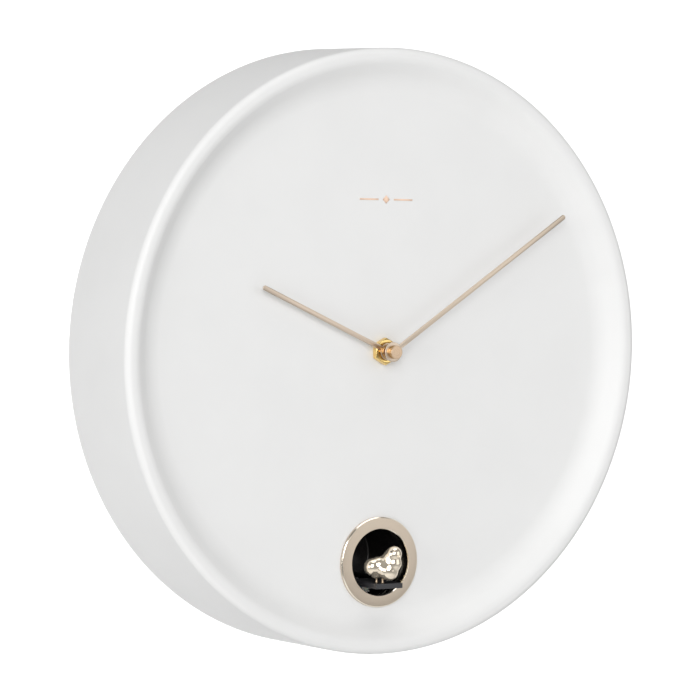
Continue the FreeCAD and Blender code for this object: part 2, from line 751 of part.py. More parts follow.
# ---------------------------------------------------------------- bird and its drive
def make_port():
    """Bezel ring with its sleeve, and the tunnel that guides the sled."""
    bore = size("bezel_bore")
    face = rod(size("bezel_radius"), dial_front, size("bezel_height"), 0, bird_z)
    sleeve = rod(bore + 1.8, dial_back - 1.0, wall + 1.5, 0, bird_z)
    name_piece(cut(fuse(face, sleeve), rod(bore, dial_back - 3, wall + 8, 0, bird_z)),
               "bezel_ring")

    inner = size("tunnel_bore")
    outer = inner + size("tunnel_wall")
    back = size("tunnel_back")
    shell = rod(outer, back, dial_back - back, 0, bird_z)
    flange = rod(outer + 3.0, dial_back - 1.5, 1.5, 0, bird_z)
    hollow = rod(inner, back + 1.2, dial_back - back, 0, bird_z)
    ledges = []
    reach = size("perch_width") / 2 - 1.5
    for side in (-1, 1):
        for z, height in ((perch_bottom - 1.1, 0.8), (perch_top + 0.3, 1.2)):
            x = reach if side > 0 else -(outer)
            ledge = block(x, outer - reach, back + 1.0, dial_back - back - 7, z, height)
            both = document.addObject("Part::Common", "ledge")
            both.Base = ledge
            both.Tool = rod(inner + 0.4, back, dial_back - back, 0, bird_z)
            ledges.append(both)
    axle_hole = cross_rod(1.0 + size("pivot_gap"), -(outer) - 1, outer * 2 + 2, drive_depth,
                          drive_z)
    name_piece(cut(fuse(cut(fuse(shell, flange), hollow), *ledges), axle_hole), "bird_tunnel")


def make_sled():
    """Perch sled: a plate with rack slots cut in its underside."""
    width = size("perch_width")
    length = size("perch_length")
    back = perch_front - length
    plate = block(-(width / 2), width, back, length, perch_bottom, size("perch_thick"))
    pitch = math.pi * number(rack_module)
    slots = []
    ahead = int((number(perch_front) - 1.6 - number(drive_depth)) / pitch)
    behind = int((number(drive_depth) - number(back)) / pitch)
    deep = number(rack_module) * 2.2
    for step in range(-behind, ahead + 1):
        half = 0.36 * pitch
        top = 0.2 * pitch
        corners = [FreeCAD.Vector(0, -half, 0), FreeCAD.Vector(0, half, 0),
                   FreeCAD.Vector(0, top, deep), FreeCAD.Vector(0, -top, deep)]
        slot = document.addObject("Part::Feature", "rack_slot")
        face = Part.Face(Part.makePolygon(corners + corners[:1]))
        slot.Shape = face.extrude(FreeCAD.Vector(5, 0, 0))
        slots.append(place(slot, -2.5, drive_depth + step * pitch, perch_bottom - 0.01))
    name_piece(cut(plate, *slots), "perch_sled")


def make_bird():
    """Bird, half turned on its perch: breast, head, neck, back, tail, beak and two legs."""
    scale = size("bird_height") / 17
    front = perch_front
    masses = [(4.8, 1.0, -2.5, 6.6), (3.9, 2.4, -0.3, 14.6), (4.1, 1.3, -2.2, 10.9),
              (4.0, -1.9, -4.9, 8.1), (4.1, -5.0, -7.2, 7.8), (0.8, 2.7, 3.4, 13.9)]
    parts = []
    for radius, x, ahead, rise in masses:
        parts.append(ball(scale * radius, scale * x, front + scale * ahead,
                          perch_top + scale * rise))
    legs = [upright(scale * 0.7, perch_top, scale * 6.0, x, front - behind)
            for x, behind in ((-3.2, 7.0), (-1.2, 4.6))]
    name_piece(fuse(*parts, *legs), "bird")


def make_drive():
    """Drive: shaft with pinion and wheel, motor with its pinion, and the bracket."""
    gap = size("pivot_gap")
    shaft_left = -(size("tunnel_bore")) + 4
    shaft_right = bracket_x + bracket_thick
    shaft = cross_rod(1.0, shaft_left, shaft_right - shaft_left, drive_depth, drive_z)
    name_piece(shaft, "sled_gear_shaft")
    pinion_phase = 90
    name_piece(gear(10, rack_module, pinion_phase, 1.02, -2, drive_depth, drive_z, 4, SIDEWAYS),
               "sled_pinion")
    direction = math.degrees(math.atan2(-4, 3))
    wheel = gear(30, drive_module, direction, 1.02, drive_wheel_x, drive_depth, drive_z, 1.8,
                 SIDEWAYS)
    name_piece(wheel, "sled_drive_wheel")

    radius = size("motor_radius")
    plate = block(bracket_x, bracket_thick, drive_depth - 13, bracket_foot_front - drive_depth + 13,
                  motor_z - 7, bird_z + 5.5 - motor_z + 7)
    foot = block(bracket_x, 12, bracket_foot_front - 1.5, 1.5, bird_z - 11.5, 17)
    holes = [cross_rod(1.0 + gap, bracket_x - 1, 4, drive_depth, drive_z),
             cross_rod(2.1, bracket_x - 1, 4, motor_depth, motor_z)]
    for x, z in bracket_screw_places():
        holes.append(rod(1.4, bracket_foot_front - 3, 4, x, z))
    name_piece(cut(fuse(plate, foot), *holes), "motor_bracket")

    motor_x = bracket_x + bracket_thick
    length = size("motor_length")
    can = cut(cross_rod(radius, motor_x, length, motor_depth, motor_z),
              cross_rod(radius - 0.6, motor_x + 0.8, length, motor_depth, motor_z),
              cross_rod(1.2, motor_x - 1, 4, motor_depth, motor_z))
    name_piece(can, "motor_can")
    cap = fuse(cross_rod(radius - 0.65, motor_x + length - 2, 2.0, motor_depth, motor_z),
               cross_rod(2.5, motor_x + length - 0.5, 1.5, motor_depth, motor_z))
    socket = cross_rod(0.75 + gap, motor_x + length - 3, 2.4, motor_depth, motor_z)
    name_piece(cut(cap, socket), "motor_end_cap")
    spindle = cross_rod(0.75, drive_wheel_x - 0.2, motor_x + length - 1.2 - drive_wheel_x + 0.2,
                        motor_depth, motor_z)
    rotor = cross_rod(radius - 1.3, motor_x + 2.5, length - 6.0, motor_depth, motor_z)
    name_piece(fuse(spindle, rotor), "motor_rotor")
    name_piece(gear(10, drive_module, mated_phase(direction, 30, 10, direction), 0.77,
                    drive_wheel_x, motor_depth, motor_z, 1.8, SIDEWAYS), "motor_pinion")


# ---------------------------------------------------------------- sound, controls, supply
def make_electronics():
    """Sound board with its chip, slide switch, button, and the loudspeaker."""
    board = block(board_x, 50, board_back, size("board_thick"), board_z, 40)
    name_piece(board, "circuit_board")
    chip = fuse(block(-84, 12, board_front, 1.8, 12, 9), block(-85, 14, board_front, 0.6, 14, 5))
    capacitor = upright(3.2, 30, 11, -70, board_front + 3.2)
    name_piece(gather(chip, capacitor), "board_parts")

    travel = size("slider_travel")
    floor = cover_front + 0.8
    housing = block(slider_x - 9, 18, floor, board_back - floor, slider_z - 4, 8)
    pocket = block(slider_x - travel - 2.8, travel * 2 + 5.6, floor - 1, 3, slider_z - 1.8, 3.6)
    name_piece(cut(housing, pocket), "volume_switch")
    stem = block(slider_x - 2.4, 4.8, cover_back - 1.6, floor + 1.6 - cover_back + 1.6,
                 slider_z - 1.5, 3.0)
    grip = block(slider_x - 3.2, 6.4, cover_back - 2.2, 1.9, slider_z - 3.2, 6.4)
    name_piece(fuse(stem, grip), "volume_slider")

    name_piece(block(button_x - 4, 8, cover_front + 2.2, board_back - cover_front - 2.2,
                     button_z - 4, 8), "button_switch")
    radius = size("button_radius")
    name_piece(fuse(rod(radius, cover_back - 1.6, 4.6, button_x, button_z),
                    rod(radius + 1.0, cover_front + 0.3, 0.7, button_x, button_z)),
               "test_button")

    outer = size("speaker_radius")
    seat = cover_front
    ring = tube(outer, outer - 3.5, seat, 1.5, speaker_x, speaker_z)
    shell = cut(taper(outer - 2, 12.5, seat + 1.4, 8.0, speaker_x, speaker_z),
                taper(outer - 2.9, 11.6, seat + 1.3, 8.2, speaker_x, speaker_z))
    plate = tube(12.5, 5.5, seat + 9.3, 1.2, speaker_x, speaker_z)
    name_piece(fuse(ring, shell, plate), "speaker_basket")
    name_piece(rod(11.0, seat + 10.5, 5.5, speaker_x, speaker_z), "speaker_magnet")
    paper = cut(taper(outer - 4.4, 5.0, seat + 1.6, 6.4, speaker_x, speaker_z),
                taper(outer - 4.9, 4.5, seat + 1.55, 6.4, speaker_x, speaker_z))
    name_piece(paper, "speaker_cone")


def make_supply():
    """Battery tray, three cells and their contacts."""
    depth = tray_floor + tray_wall - cover_front
    shell = block(tray_x, tray_width, cover_front, depth, tray_z, tray_height)
    room = block(tray_x + tray_wall, tray_width - tray_wall * 2, cover_front - 1,
                 tray_floor - cover_front + 1, tray_z + tray_wall, tray_height - tray_wall * 2)
    name_piece(cut(shell, room), "battery_tray")
    cells = []
    contacts = []
    radius = size("cell_radius")
    low = tray_z + tray_wall + 4.2
    for step in range(3):
        x = tray_x + tray_wall + size("cell_gap") + radius + cell_pitch * step
        up = step % 2 == 0
        can = upright(radius, low if up else low + 1.0, size("cell_length") - 1.0, x, cell_depth)
        nub = upright(2.6, low + size("cell_length") - 1.1 if up else low, 1.1, x, cell_depth)
        cells.append(fuse(can, nub))
        contacts.append(block(x - 4, 8, cell_depth - 4, 8, tray_z + tray_wall, 0.4))
        contacts.append(block(x - 4, 8, cell_depth - 4, 8,
                              tray_z + tray_height - tray_wall - 0.4, 0.4))
        spring = document.addObject("Part::Cone", "spring")
        bind(spring, Radius1=3.4, Radius2=2.2, Height=3.6)
        contacts.append(place(spring, x, cell_depth, tray_z + tray_wall + 0.4))
    name_piece(gather(*cells), "battery_cells")
    name_piece(gather(*contacts), "battery_contacts")


def make_leads():
    """Leads between the board and the movement, loudspeaker, cells and motor."""
    join = board_front + 0.05
    exit_depth = movement_inner_back + 4
    name_piece(lead([(-half_movement - 0.05, exit_depth, 14), (-42, exit_depth, 14),
                     (-58, 24, 12), (-58, join, 12)], 4), "movement_lead")
    name_piece(lead([(speaker_x - 2, join, 8), (speaker_x - 2, 25, 8),
                     (speaker_x - 2, 25, speaker_z + 5),
                     (speaker_x - 2, cover_front + 16.05, speaker_z + 5)], 3), "speaker_lead")
    name_piece(lead([(tray_x + 14, 14, tray_z + tray_height + 0.05),
                     (tray_x + 14, 14, 42), (20, 24, 46), (-34, 24, 46), (-58, 24, 38),
                     (-58, join, 38)], 5), "battery_lead")
    end = bracket_x + bracket_thick + size("motor_length") + 1.05
    name_piece(lead([(end, motor_depth, motor_z), (end + 11, motor_depth, motor_z),
                     (52, 37, -72), (12, 37, -46), (-34, 37, -42), (-40, 30, -8),
                     (-54, 25, 8), (-54, join, 8)], 4), "motor_lead")


make_case()
make_dial_mark()
make_rear_cover()
make_battery_door()
make_screws()
make_hanger()
make_movement_case()
make_hub()
make_stepper()
make_train()
make_hands()
make_port()
make_sled()
make_bird()
make_drive()
make_electronics()
make_supply()
make_leads()
document.recompute()

failed = [item.Name for item in document.Objects
          if "Invalid" in item.State or "Error" in item.State]
if failed:
    raise RuntimeError("objects that did not build: " + ", ".join(failed))
for piece in pieces:
    if piece.Shape.isNull() or not piece.Shape.isValid() or not piece.Shape.Solids:
        raise RuntimeError("piece without a valid solid: " + piece.Label)

os.makedirs("parts", exist_ok=True)
for piece in pieces:
    piece.Shape.exportStep(os.path.join("parts", piece.Label + ".step"))
print(len(pieces), "pieces written")
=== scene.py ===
import math

import bmesh
import bpy
import numpy as np
from mathutils import Matrix, Vector


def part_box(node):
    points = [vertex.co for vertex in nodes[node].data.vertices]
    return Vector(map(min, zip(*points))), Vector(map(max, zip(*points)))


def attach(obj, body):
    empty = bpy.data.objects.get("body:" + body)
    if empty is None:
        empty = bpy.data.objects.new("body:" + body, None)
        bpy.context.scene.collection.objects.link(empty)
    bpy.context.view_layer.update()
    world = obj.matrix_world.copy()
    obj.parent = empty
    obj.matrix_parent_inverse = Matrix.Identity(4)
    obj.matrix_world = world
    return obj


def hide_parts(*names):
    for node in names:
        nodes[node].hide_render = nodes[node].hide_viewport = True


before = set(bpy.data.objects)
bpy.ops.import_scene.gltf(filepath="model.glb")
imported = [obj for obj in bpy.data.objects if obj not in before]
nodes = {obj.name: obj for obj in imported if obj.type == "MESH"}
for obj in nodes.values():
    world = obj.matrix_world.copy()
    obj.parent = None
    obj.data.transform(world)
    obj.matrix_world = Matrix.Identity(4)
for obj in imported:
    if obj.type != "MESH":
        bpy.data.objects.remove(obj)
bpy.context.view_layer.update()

MM = 0.001

# ---------------------------------------------------------------- the studio
# The clock hangs in the open over a pale sweep of card that runs up behind it, so that no
# edge of the room shows.  Broad soft lights stand in front and to the left of the case.
case_low, case_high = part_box("case_shell")
case_radius = round(case_high[0], 3)
case_depth = -case_low[1]


def merge_points(mesh, distance=1e-7, flat_angle=None):
    """Merge a mesh's double points, make its flat faces whole where an angle is given, and turn
    its faces outward."""
    work = bmesh.new()
    work.from_mesh(mesh)
    bmesh.ops.remove_doubles(work, verts=work.verts, dist=distance)
    if flat_angle is not None:
        bmesh.ops.dissolve_limit(work, angle_limit=flat_angle, verts=work.verts, edges=work.edges)
    bmesh.ops.recalc_face_normals(work, faces=work.faces)
    work.to_mesh(mesh)
    work.free()


def add_object(name, contents):
    """A new object at the origin, holding a mesh, light or camera."""
    thing = bpy.data.objects.new(name, contents)
    bpy.context.scene.collection.objects.link(thing)
    return thing


def mesh_object(name, points, faces, body=None, slot=None, replaces=()):
    """Put worked-out points and faces into a new object and hand it to its CAD body."""
    mesh = bpy.data.meshes.new(name)
    mesh.from_pydata(np.asarray(points, float).tolist(), [], [list(face) for face in faces])
    merge_points(mesh)
    mesh.shade_smooth()
    mesh.set_sharp_from_angle(angle=math.radians(38))
    piece = add_object(name, mesh)
    if replaces:
        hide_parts(*replaces)
    if body:
        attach(piece, body)
    return piece


def swept_card():
    """Studio card: across the room x runs straight, and along it the height is 0 on the floor,
    follows a quarter circle of radius 2 m and then climbs straight up."""
    turn = np.linspace(0, math.pi / 2, 24)
    along = np.concatenate([[-6.0], 4 + 2.0 * np.sin(turn), [6.0]])
    height = np.concatenate([[0.0], 2.0 - 2.0 * np.cos(turn), [7.0]]) - 1.6
    across = np.array([-9.0, 9.0])
    grid = np.array([(x, y, z) for y, z in zip(along, height) for x in across])
    rows = len(along)
    faces = [(2 * i, 2 * i + 1, 2 * i + 3, 2 * i + 2) for i in range(rows - 1)]
    card = mesh_object("studio_card", grid, faces)
    paper = bpy.data.materials.new("studio_card")
    paper.use_nodes = True
    paper.node_tree.nodes["Principled BSDF"].inputs["Base Color"].default_value = (1, 1, 1, 1)
    paper.node_tree.nodes["Principled BSDF"].inputs["Roughness"].default_value = 0.9
    card.data.materials.append(paper)


def soft_box(name, place, width, height, watts, target=(0, -0.028, 0)):
    """A soft box: an evenly lit rectangle that faces a point, the middle of the clock at first."""
    lamp = bpy.data.lights.new(name, "AREA")
    lamp.shape = "RECTANGLE"
    lamp.size = width
    lamp.size_y = height
    lamp.energy = watts
    holder = add_object(name, lamp)
    holder.location = place
    way = Vector(target) - Vector(place)
    holder.rotation_euler = way.to_track_quat("-Z", "Y").to_euler()


def set_camera():
    """Camera: a long lens, left of the clock and just above its middle, with a slight roll."""
    azimuth, elevation, roll = math.radians(-33.0), math.radians(2.3), math.radians(1.22)
    distance = 1.7514
    back = Vector((math.sin(azimuth) * math.cos(elevation),
                   -math.cos(azimuth) * math.cos(elevation), math.sin(elevation)))
    right = Vector((0, 0, 1)).cross(back).normalized()
    up = back.cross(right)
    side = right * math.cos(roll) + up * math.sin(roll)
    top = -right * math.sin(roll) + up * math.cos(roll)
    lens = bpy.data.cameras.new("camera")
    lens.sensor_width = 36
    lens.lens = 180.9
    lens.shift_x = -0.0164
    lens.shift_y = -0.0008
    lens.clip_end = 50
    holder = add_object("camera", lens)
    place = Vector((0, -case_depth / 2, 0)) + back * distance
    holder.matrix_world = Matrix((
        (side.x, top.x, back.x, place.x), (side.y, top.y, back.y, place.y),
        (side.z, top.z, back.z, place.z), (0, 0, 0, 1)))
    bpy.context.scene.camera = holder


swept_card()
soft_box("left_light", (-2.4, -0.5, 0.0), 1.6, 1.0, 19.6)
soft_box("right_light", (1.5, -2.3, 0.3), 2.2, 2.2, 16.4)
soft_box("front_light", (-1.5, -2.4, 0.7), 1.6, 1.6, 46.8)
soft_box("top_light", (0.2, -0.5, 2.4), 2.2, 1.6, 19.0)
soft_box("card_light", (2.0, 2.4, 0.4), 5.2, 2.6, 205, (2.0, 6.0, 0.0))
set_camera()
world = bpy.data.worlds.new("studio_air")
world.use_nodes = True
world.node_tree.nodes["Background"].inputs["Color"].default_value = (1, 1, 1, 1)
world.node_tree.nodes["Background"].inputs["Strength"].default_value = 0.205
bpy.context.scene.world = world
bpy.context.scene.view_settings.view_transform = "Standard"

# ---------------------------------------------------------------- case shell
# One injection moulding in white ABS: side wall with a little draft, round rim, sloping dish
# and flat dial, with bosses behind for the cover screws.  Fine satin tool finish all over.


def wire(tree, source, socket, target, entry):
    """Join one node's output to another's input."""
    tree.links.new(source.outputs[socket], target.inputs[entry])


def grain_group():
    """Moulded grain: fine noise on object coordinates gives a height, and slow noise a mottle."""
    tree = bpy.data.node_groups.new("moulded_grain", "ShaderNodeTree")
    for name in ("Scale", "Strength"):
        tree.interface.new_socket(name, in_out="INPUT", socket_type="NodeSocketFloat")
    tree.interface.new_socket("Normal", in_out="OUTPUT", socket_type="NodeSocketVector")
    tree.interface.new_socket("Mottle", in_out="OUTPUT", socket_type="NodeSocketFloat")
    given = tree.nodes.new("NodeGroupInput")
    result = tree.nodes.new("NodeGroupOutput")
    place = tree.nodes.new("ShaderNodeTexCoord")
    fine = tree.nodes.new("ShaderNodeTexNoise")
    fine.inputs["Detail"].default_value = 3
    slow = tree.nodes.new("ShaderNodeTexNoise")
    slow.inputs["Scale"].default_value = 28
    slow.inputs["Detail"].default_value = 4
    bump = tree.nodes.new("ShaderNodeBump")
    bump.inputs["Distance"].default_value = 0.0001
    wire(tree, place, "Object", fine, "Vector")
    wire(tree, place, "Object", slow, "Vector")
    wire(tree, given, "Scale", fine, "Scale")
    wire(tree, given, "Strength", bump, "Strength")
    wire(tree, fine, "Fac", bump, "Height")
    wire(tree, bump, "Normal", result, "Normal")
    wire(tree, slow, "Fac", result, "Mottle")
    return tree


moulded_grain = grain_group()


def blank(name):
    """A new node material with its Principled shader."""
    material = bpy.data.materials.new(name)
    material.use_nodes = True
    return material, material.node_tree, material.node_tree.nodes["Principled BSDF"]


def ramp_between(tree, low, high, low_value, high_value):
    """A node that carries a mask between two greys onto a range of values."""
    span = tree.nodes.new("ShaderNodeMapRange")
    span.inputs["From Min"].default_value = low
    span.inputs["From Max"].default_value = high
    span.inputs["To Min"].default_value = low_value
    span.inputs["To Max"].default_value = high_value
    return span


def mix_colours(tree, first, second):
    """A colour mix node; its Factor is wired by the caller."""
    mix = tree.nodes.new("ShaderNodeMix")
    mix.data_type = "RGBA"
    mix.inputs["A"].default_value = (*first, 1)
    mix.inputs["B"].default_value = (*second, 1)
    return mix


def worked(name, effect, given, mask, colour, deep, pale_from, rough, spread):
    """A material on a shared effect: its mask mixes two colours and moves the roughness, and
    its normal marks the surface.  Returns the material and its shader."""
    material, tree, shader = blank(name)
    group = tree.nodes.new("ShaderNodeGroup")
    group.node_tree = effect
    for entry, value in given.items():
        group.inputs[entry].default_value = value
    mix = mix_colours(tree, deep, colour)
    tone = ramp_between(tree, 0.3, pale_from, 0.0, 1.0)
    satin = ramp_between(tree, 0.25, 0.75, rough - spread, rough + spread)
    wire(tree, group, mask, tone, "Value")
    wire(tree, tone, "Result", mix, "Factor")
    wire(tree, mix, "Result", shader, "Base Color")
    wire(tree, group, mask, satin, "Value")
    wire(tree, satin, "Result", shader, "Roughness")
    wire(tree, group, "Normal", shader, "Normal")
    return material, shader


def moulded(name, colour, deep, rough, grain_size, grain, coat=0.0):
    """Moulded plastic: grain in the normal, a slow mottle in colour and roughness."""
    material, shader = worked(name, moulded_grain, {"Scale": grain_size, "Strength": grain},
                              "Mottle", colour, deep, 0.6, rough, 0.03)
    shader.inputs["Coat Weight"].default_value = coat
    return material


def rounded(corners, steps=6):
    """Round a closed outline: a corner given as (radius, depth, fillet) becomes an arc that is
    tangent to both its sides; points are in mm."""
    count = len(corners)
    line = []
    for index in range(count):
        before = np.array(corners[index - 1][:2], float)
        here = np.array(corners[index][:2], float)
        after = np.array(corners[(index + 1) % count][:2], float)
        fillet = corners[index][2] if len(corners[index]) > 2 else 0
        if fillet <= 0:
            line.append(here)
            continue
        into = (before - here) / np.linalg.norm(before - here)
        out = (after - here) / np.linalg.norm(after - here)
        half = math.acos(np.clip(into @ out, -1, 1)) / 2
        reach = fillet / math.tan(half)
        middle = here + (into + out) / np.linalg.norm(into + out) * fillet / math.sin(half)
        first = here + into * reach - middle
        last = here + out * reach - middle
        sweep = math.atan2(first[0] * last[1] - first[1] * last[0], first @ last)
        for turn in np.linspace(0, sweep, steps + 1):
            line.append(middle + (first[0] * math.cos(turn) - first[1] * math.sin(turn),
                                  first[0] * math.sin(turn) + first[1] * math.cos(turn)))
    return np.array(line)


def turned(outline, segments=96, x=0.0, z=0.0):
    """Turn a closed outline about a line along Y: a point (radius, depth) in mm at angle t goes
    to (x + r cos t, -depth, z + r sin t)."""
    angle = np.linspace(0, 2 * math.pi, segments, endpoint=False)
    radius, depth = outline[:, 0][:, None], outline[:, 1][:, None]
    points = np.stack([x + radius * np.cos(angle), np.repeat(-depth, segments, 1),
                       z + radius * np.sin(angle)], -1).reshape(-1, 3) * MM
    count = len(outline)
    row, column = np.meshgrid(np.arange(count), np.arange(segments), indexing="ij")
    next_row, next_column = (row + 1) % count, (column + 1) % segments
    faces = np.stack([row * segments + column, next_row * segments + column,
                      next_row * segments + next_column, row * segments + next_column], -1)
    faces = faces.reshape(-1, 4)
    on_axis = outline[faces // segments, 0] < 1e-9
    return points, faces[~(on_axis[:, 0] & on_axis[:, 1])]


def joined(*parts):
    """Several sets of points and faces as one."""
    points, faces, start = [], [], 0
    for part_points, part_faces in parts:
        points.append(np.asarray(part_points))
        faces += [[start + corner for corner in face] for face in part_faces]
        start += len(part_points)
    return np.concatenate(points), faces


def finish_modifiers(piece):
    """Apply a piece's modifiers to its mesh."""
    ready = piece.evaluated_get(bpy.context.evaluated_depsgraph_get())
    mesh = bpy.data.meshes.new_from_object(ready)
    piece.modifiers.clear()
    piece.data = mesh


def bore_through(piece, cutter_points, cutter_faces):
    """Cut a round hole with a turned plug, which is then thrown away."""
    plug_mesh = bpy.data.meshes.new("plug")
    plug_mesh.from_pydata(cutter_points.tolist(), [], cutter_faces.tolist())
    merge_points(plug_mesh)
    plug = add_object("plug", plug_mesh)
    cut = piece.modifiers.new("hole", "BOOLEAN")
    cut.operation = "DIFFERENCE"
    cut.solver = "EXACT"
    cut.object = plug
    finish_modifiers(piece)
    bpy.data.objects.remove(plug)


wall = 2.6
screw_circle = 126
radius_mm = case_radius / MM
depth_mm = case_depth / MM
rim_outer = radius_mm - 0.8
rim_inner = rim_outer - 6.6
dish_radius = rim_inner - 9.8
dial_front = -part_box("hex_nut")[1][1] / MM
dial_back = dial_front - wall
port_low, port_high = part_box("bezel_ring")
port_z = (port_low[2] + port_high[2]) / 2 / MM
port_bore = 16.3
hub_hole = 4.15
case_outline = rounded([
    (radius_mm - wall, 0, 0.3), (radius_mm, 0, 0.4), (rim_outer, depth_mm, 3.3),
    (rim_inner, depth_mm, 6.0), (dish_radius, dial_front, 16.0), (hub_hole, dial_front),
    (hub_hole, dial_back), (dish_radius + wall * 0.38, dial_back, 2.0),
    (rim_inner + wall * 0.38, depth_mm - wall, 1.0), (rim_outer - wall, depth_mm - wall, 1.0)],
    steps=14)
boss_rows = []
for quarter in range(4):
    angle = math.radians(45 + 90 * quarter)
    boss = rounded([(5.0, 5.6, 0.4), (5.0, dial_back + 0.3), (1.5, dial_back + 0.3),
                    (1.5, 5.6, 0.2)])
    boss_rows.append(turned(boss, 32, screw_circle * math.cos(angle),
                            screw_circle * math.sin(angle)))
case_piece = mesh_object("case_moulding", *turned(case_outline, 360))
bore_through(case_piece, *turned(np.array([(0, dial_back - 3), (port_bore + 1.9, dial_back - 3),
                                           (port_bore + 1.9, dial_front + 3), (0, dial_front + 3)]),
                                 96, 0, port_z))
case_piece.data.shade_smooth()
case_piece.data.set_sharp_from_angle(angle=math.radians(30))
white_shell = moulded("white_shell", (0.80, 0.80, 0.795), (0.785, 0.785, 0.78), 0.54, 5200, 0.10)
case_piece.data.materials.append(white_shell)
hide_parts("case_shell")
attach(case_piece, "case")
boss_piece = mesh_object("case_bosses", *joined(*boss_rows), body="case", slot="white_shell")
boss_piece.data.materials.append(white_shell)

# ---------------------------------------------------------------- dial mark
# Hot-stamped foil below the twelve: a lozenge between two short bars, a tenth of a
# millimetre thick, rose gold.


def prism(outline, back, front):
    """A flat outline in (x, z) mm made solid between two depths, with one face on each end."""
    outline = np.asarray(outline, float)
    count = len(outline)
    points = [(x * MM, -depth * MM, z * MM) for depth in (back, front) for x, z in outline]
    faces = [tuple(range(count)), tuple(range(2 * count - 1, count - 1, -1))]
    faces += [(i, (i + 1) % count, count + (i + 1) % count, count + i) for i in range(count)]
    return np.array(points), faces


def eased(piece, width):
    """Round a piece's hard edges with a bevel of that width in mm, and level its flat faces."""
    piece.data.shade_smooth()
    ease = piece.modifiers.new("eased", "BEVEL")
    ease.width = width * MM
    ease.segments = 2
    ease.limit_method = "ANGLE"
    ease.angle_limit = math.radians(35)
    ease.use_clamp_overlap = True
    level = piece.modifiers.new("level", "WEIGHTED_NORMAL")
    level.keep_sharp = True
    finish_modifiers(piece)
    piece.data.set_sharp_from_angle(angle=math.radians(40))
    return piece


def marks_group():
    """Machining marks: rings round a centre line or straight strokes, as a normal and a tone.
    The distance from the centre, or the height for strokes, drives a one-way noise."""
    tree = bpy.data.node_groups.new("machining_marks", "ShaderNodeTree")
    tree.interface.new_socket("Centre", in_out="INPUT", socket_type="NodeSocketVector")
    for name in ("Rings", "Scale", "Strength"):
        tree.interface.new_socket(name, in_out="INPUT", socket_type="NodeSocketFloat")
    tree.interface.new_socket("Normal", in_out="OUTPUT", socket_type="NodeSocketVector")
    tree.interface.new_socket("Tone", in_out="OUTPUT", socket_type="NodeSocketFloat")
    given = tree.nodes.new("NodeGroupInput")
    result = tree.nodes.new("NodeGroupOutput")
    place = tree.nodes.new("ShaderNodeTexCoord")
    away = tree.nodes.new("ShaderNodeVectorMath")
    away.operation = "SUBTRACT"
    flat = tree.nodes.new("ShaderNodeVectorMath")
    flat.operation = "MULTIPLY"
    flat.inputs[1].default_value = (1, 0, 1)
    reach = tree.nodes.new("ShaderNodeVectorMath")
    reach.operation = "LENGTH"
    split = tree.nodes.new("ShaderNodeSeparateXYZ")
    pick = tree.nodes.new("ShaderNodeMix")
    rings = tree.nodes.new("ShaderNodeTexNoise")
    rings.noise_dimensions = "1D"
    rings.inputs["Detail"].default_value = 4
    bump = tree.nodes.new("ShaderNodeBump")
    bump.inputs["Distance"].default_value = 0.00005
    wire(tree, place, "Object", away, 0)
    wire(tree, given, "Centre", away, 1)
    wire(tree, away, 0, flat, 0)
    wire(tree, flat, 0, reach, 0)
    wire(tree, away, 0, split, 0)
    wire(tree, given, "Rings", pick, "Factor")
    wire(tree, split, "Z", pick, "A")
    wire(tree, reach, "Value", pick, "B")
    wire(tree, pick, "Result", rings, "W")
    wire(tree, given, "Scale", rings, "Scale")
    wire(tree, given, "Strength", bump, "Strength")
    wire(tree, rings, "Fac", bump, "Height")
    wire(tree, bump, "Normal", result, "Normal")
    wire(tree, rings, "Fac", result, "Tone")
    return tree


machining_marks = marks_group()


def metal(name, colour, deep, rough, spread, strength, centre=(0, 0, 0), rings=1.0, scale=9000):
    """Machined or drawn metal: marks in the normal, in the tint and in the roughness."""
    given = {"Centre": centre, "Rings": rings, "Scale": scale, "Strength": strength}
    material, shader = worked(name, machining_marks, given, "Tone", colour, deep, 0.65, rough,
                              spread)
    shader.inputs["Metallic"].default_value = 1.0
    return material


rose_foil = metal("rose_foil", (0.86, 0.64, 0.50), (0.80, 0.57, 0.43), 0.32, 0.05, 0.1, rings=0.0)
mark_low, mark_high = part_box("dial_mark")
mark_z = (mark_low[2] + mark_high[2]) / 2 / MM
mark_half = mark_high[0] / MM
mark_parts = [prism([(0, mark_z - 2.1), (2.1, mark_z), (0, mark_z + 2.1), (-2.1, mark_z)],
                    dial_front, dial_front + 0.12)]
for side in (-1, 1):
    mark_parts.append(prism([(side * 4.5, mark_z - 0.4), (side * mark_half, mark_z - 0.4),
                             (side * mark_half, mark_z + 0.4), (side * 4.5, mark_z + 0.4)],
                            dial_front, dial_front + 0.12))
mark = mesh_object("dial_mark_foil", *joined(*mark_parts), body="case", slot="rose_foil",
                   replaces=("dial_mark",))
eased(mark, 0.03)
mark.data.materials.append(rose_foil)

# ---------------------------------------------------------------- hub: nut and threaded stem
# A brass hex nut, gilt, clamps the dial on the movement's threaded brass stem.  Its front
# corners are turned off at 30 degrees, and the stem's thread shows inside it.
hub_brass = metal("hub_brass", (0.92, 0.68, 0.28), (0.86, 0.60, 0.22), 0.17, 0.05, 0.25)
nut_low, nut_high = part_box("hex_nut")
nut_back, nut_front = dial_front, -nut_low[1] / MM
nut_flats = nut_high[0] * 2 / MM
stem_radius = 4.0


def grid_faces(rows, columns, closed=True):
    """Four-sided faces between neighbouring rings of points; when closed, the last ring joins
    the first."""
    return [(i * columns + j, (i + 1) % rows * columns + j,
             (i + 1) % rows * columns + (j + 1) % columns, i * columns + (j + 1) % columns)
            for i in range(rows if closed else rows - 1) for j in range(columns)]


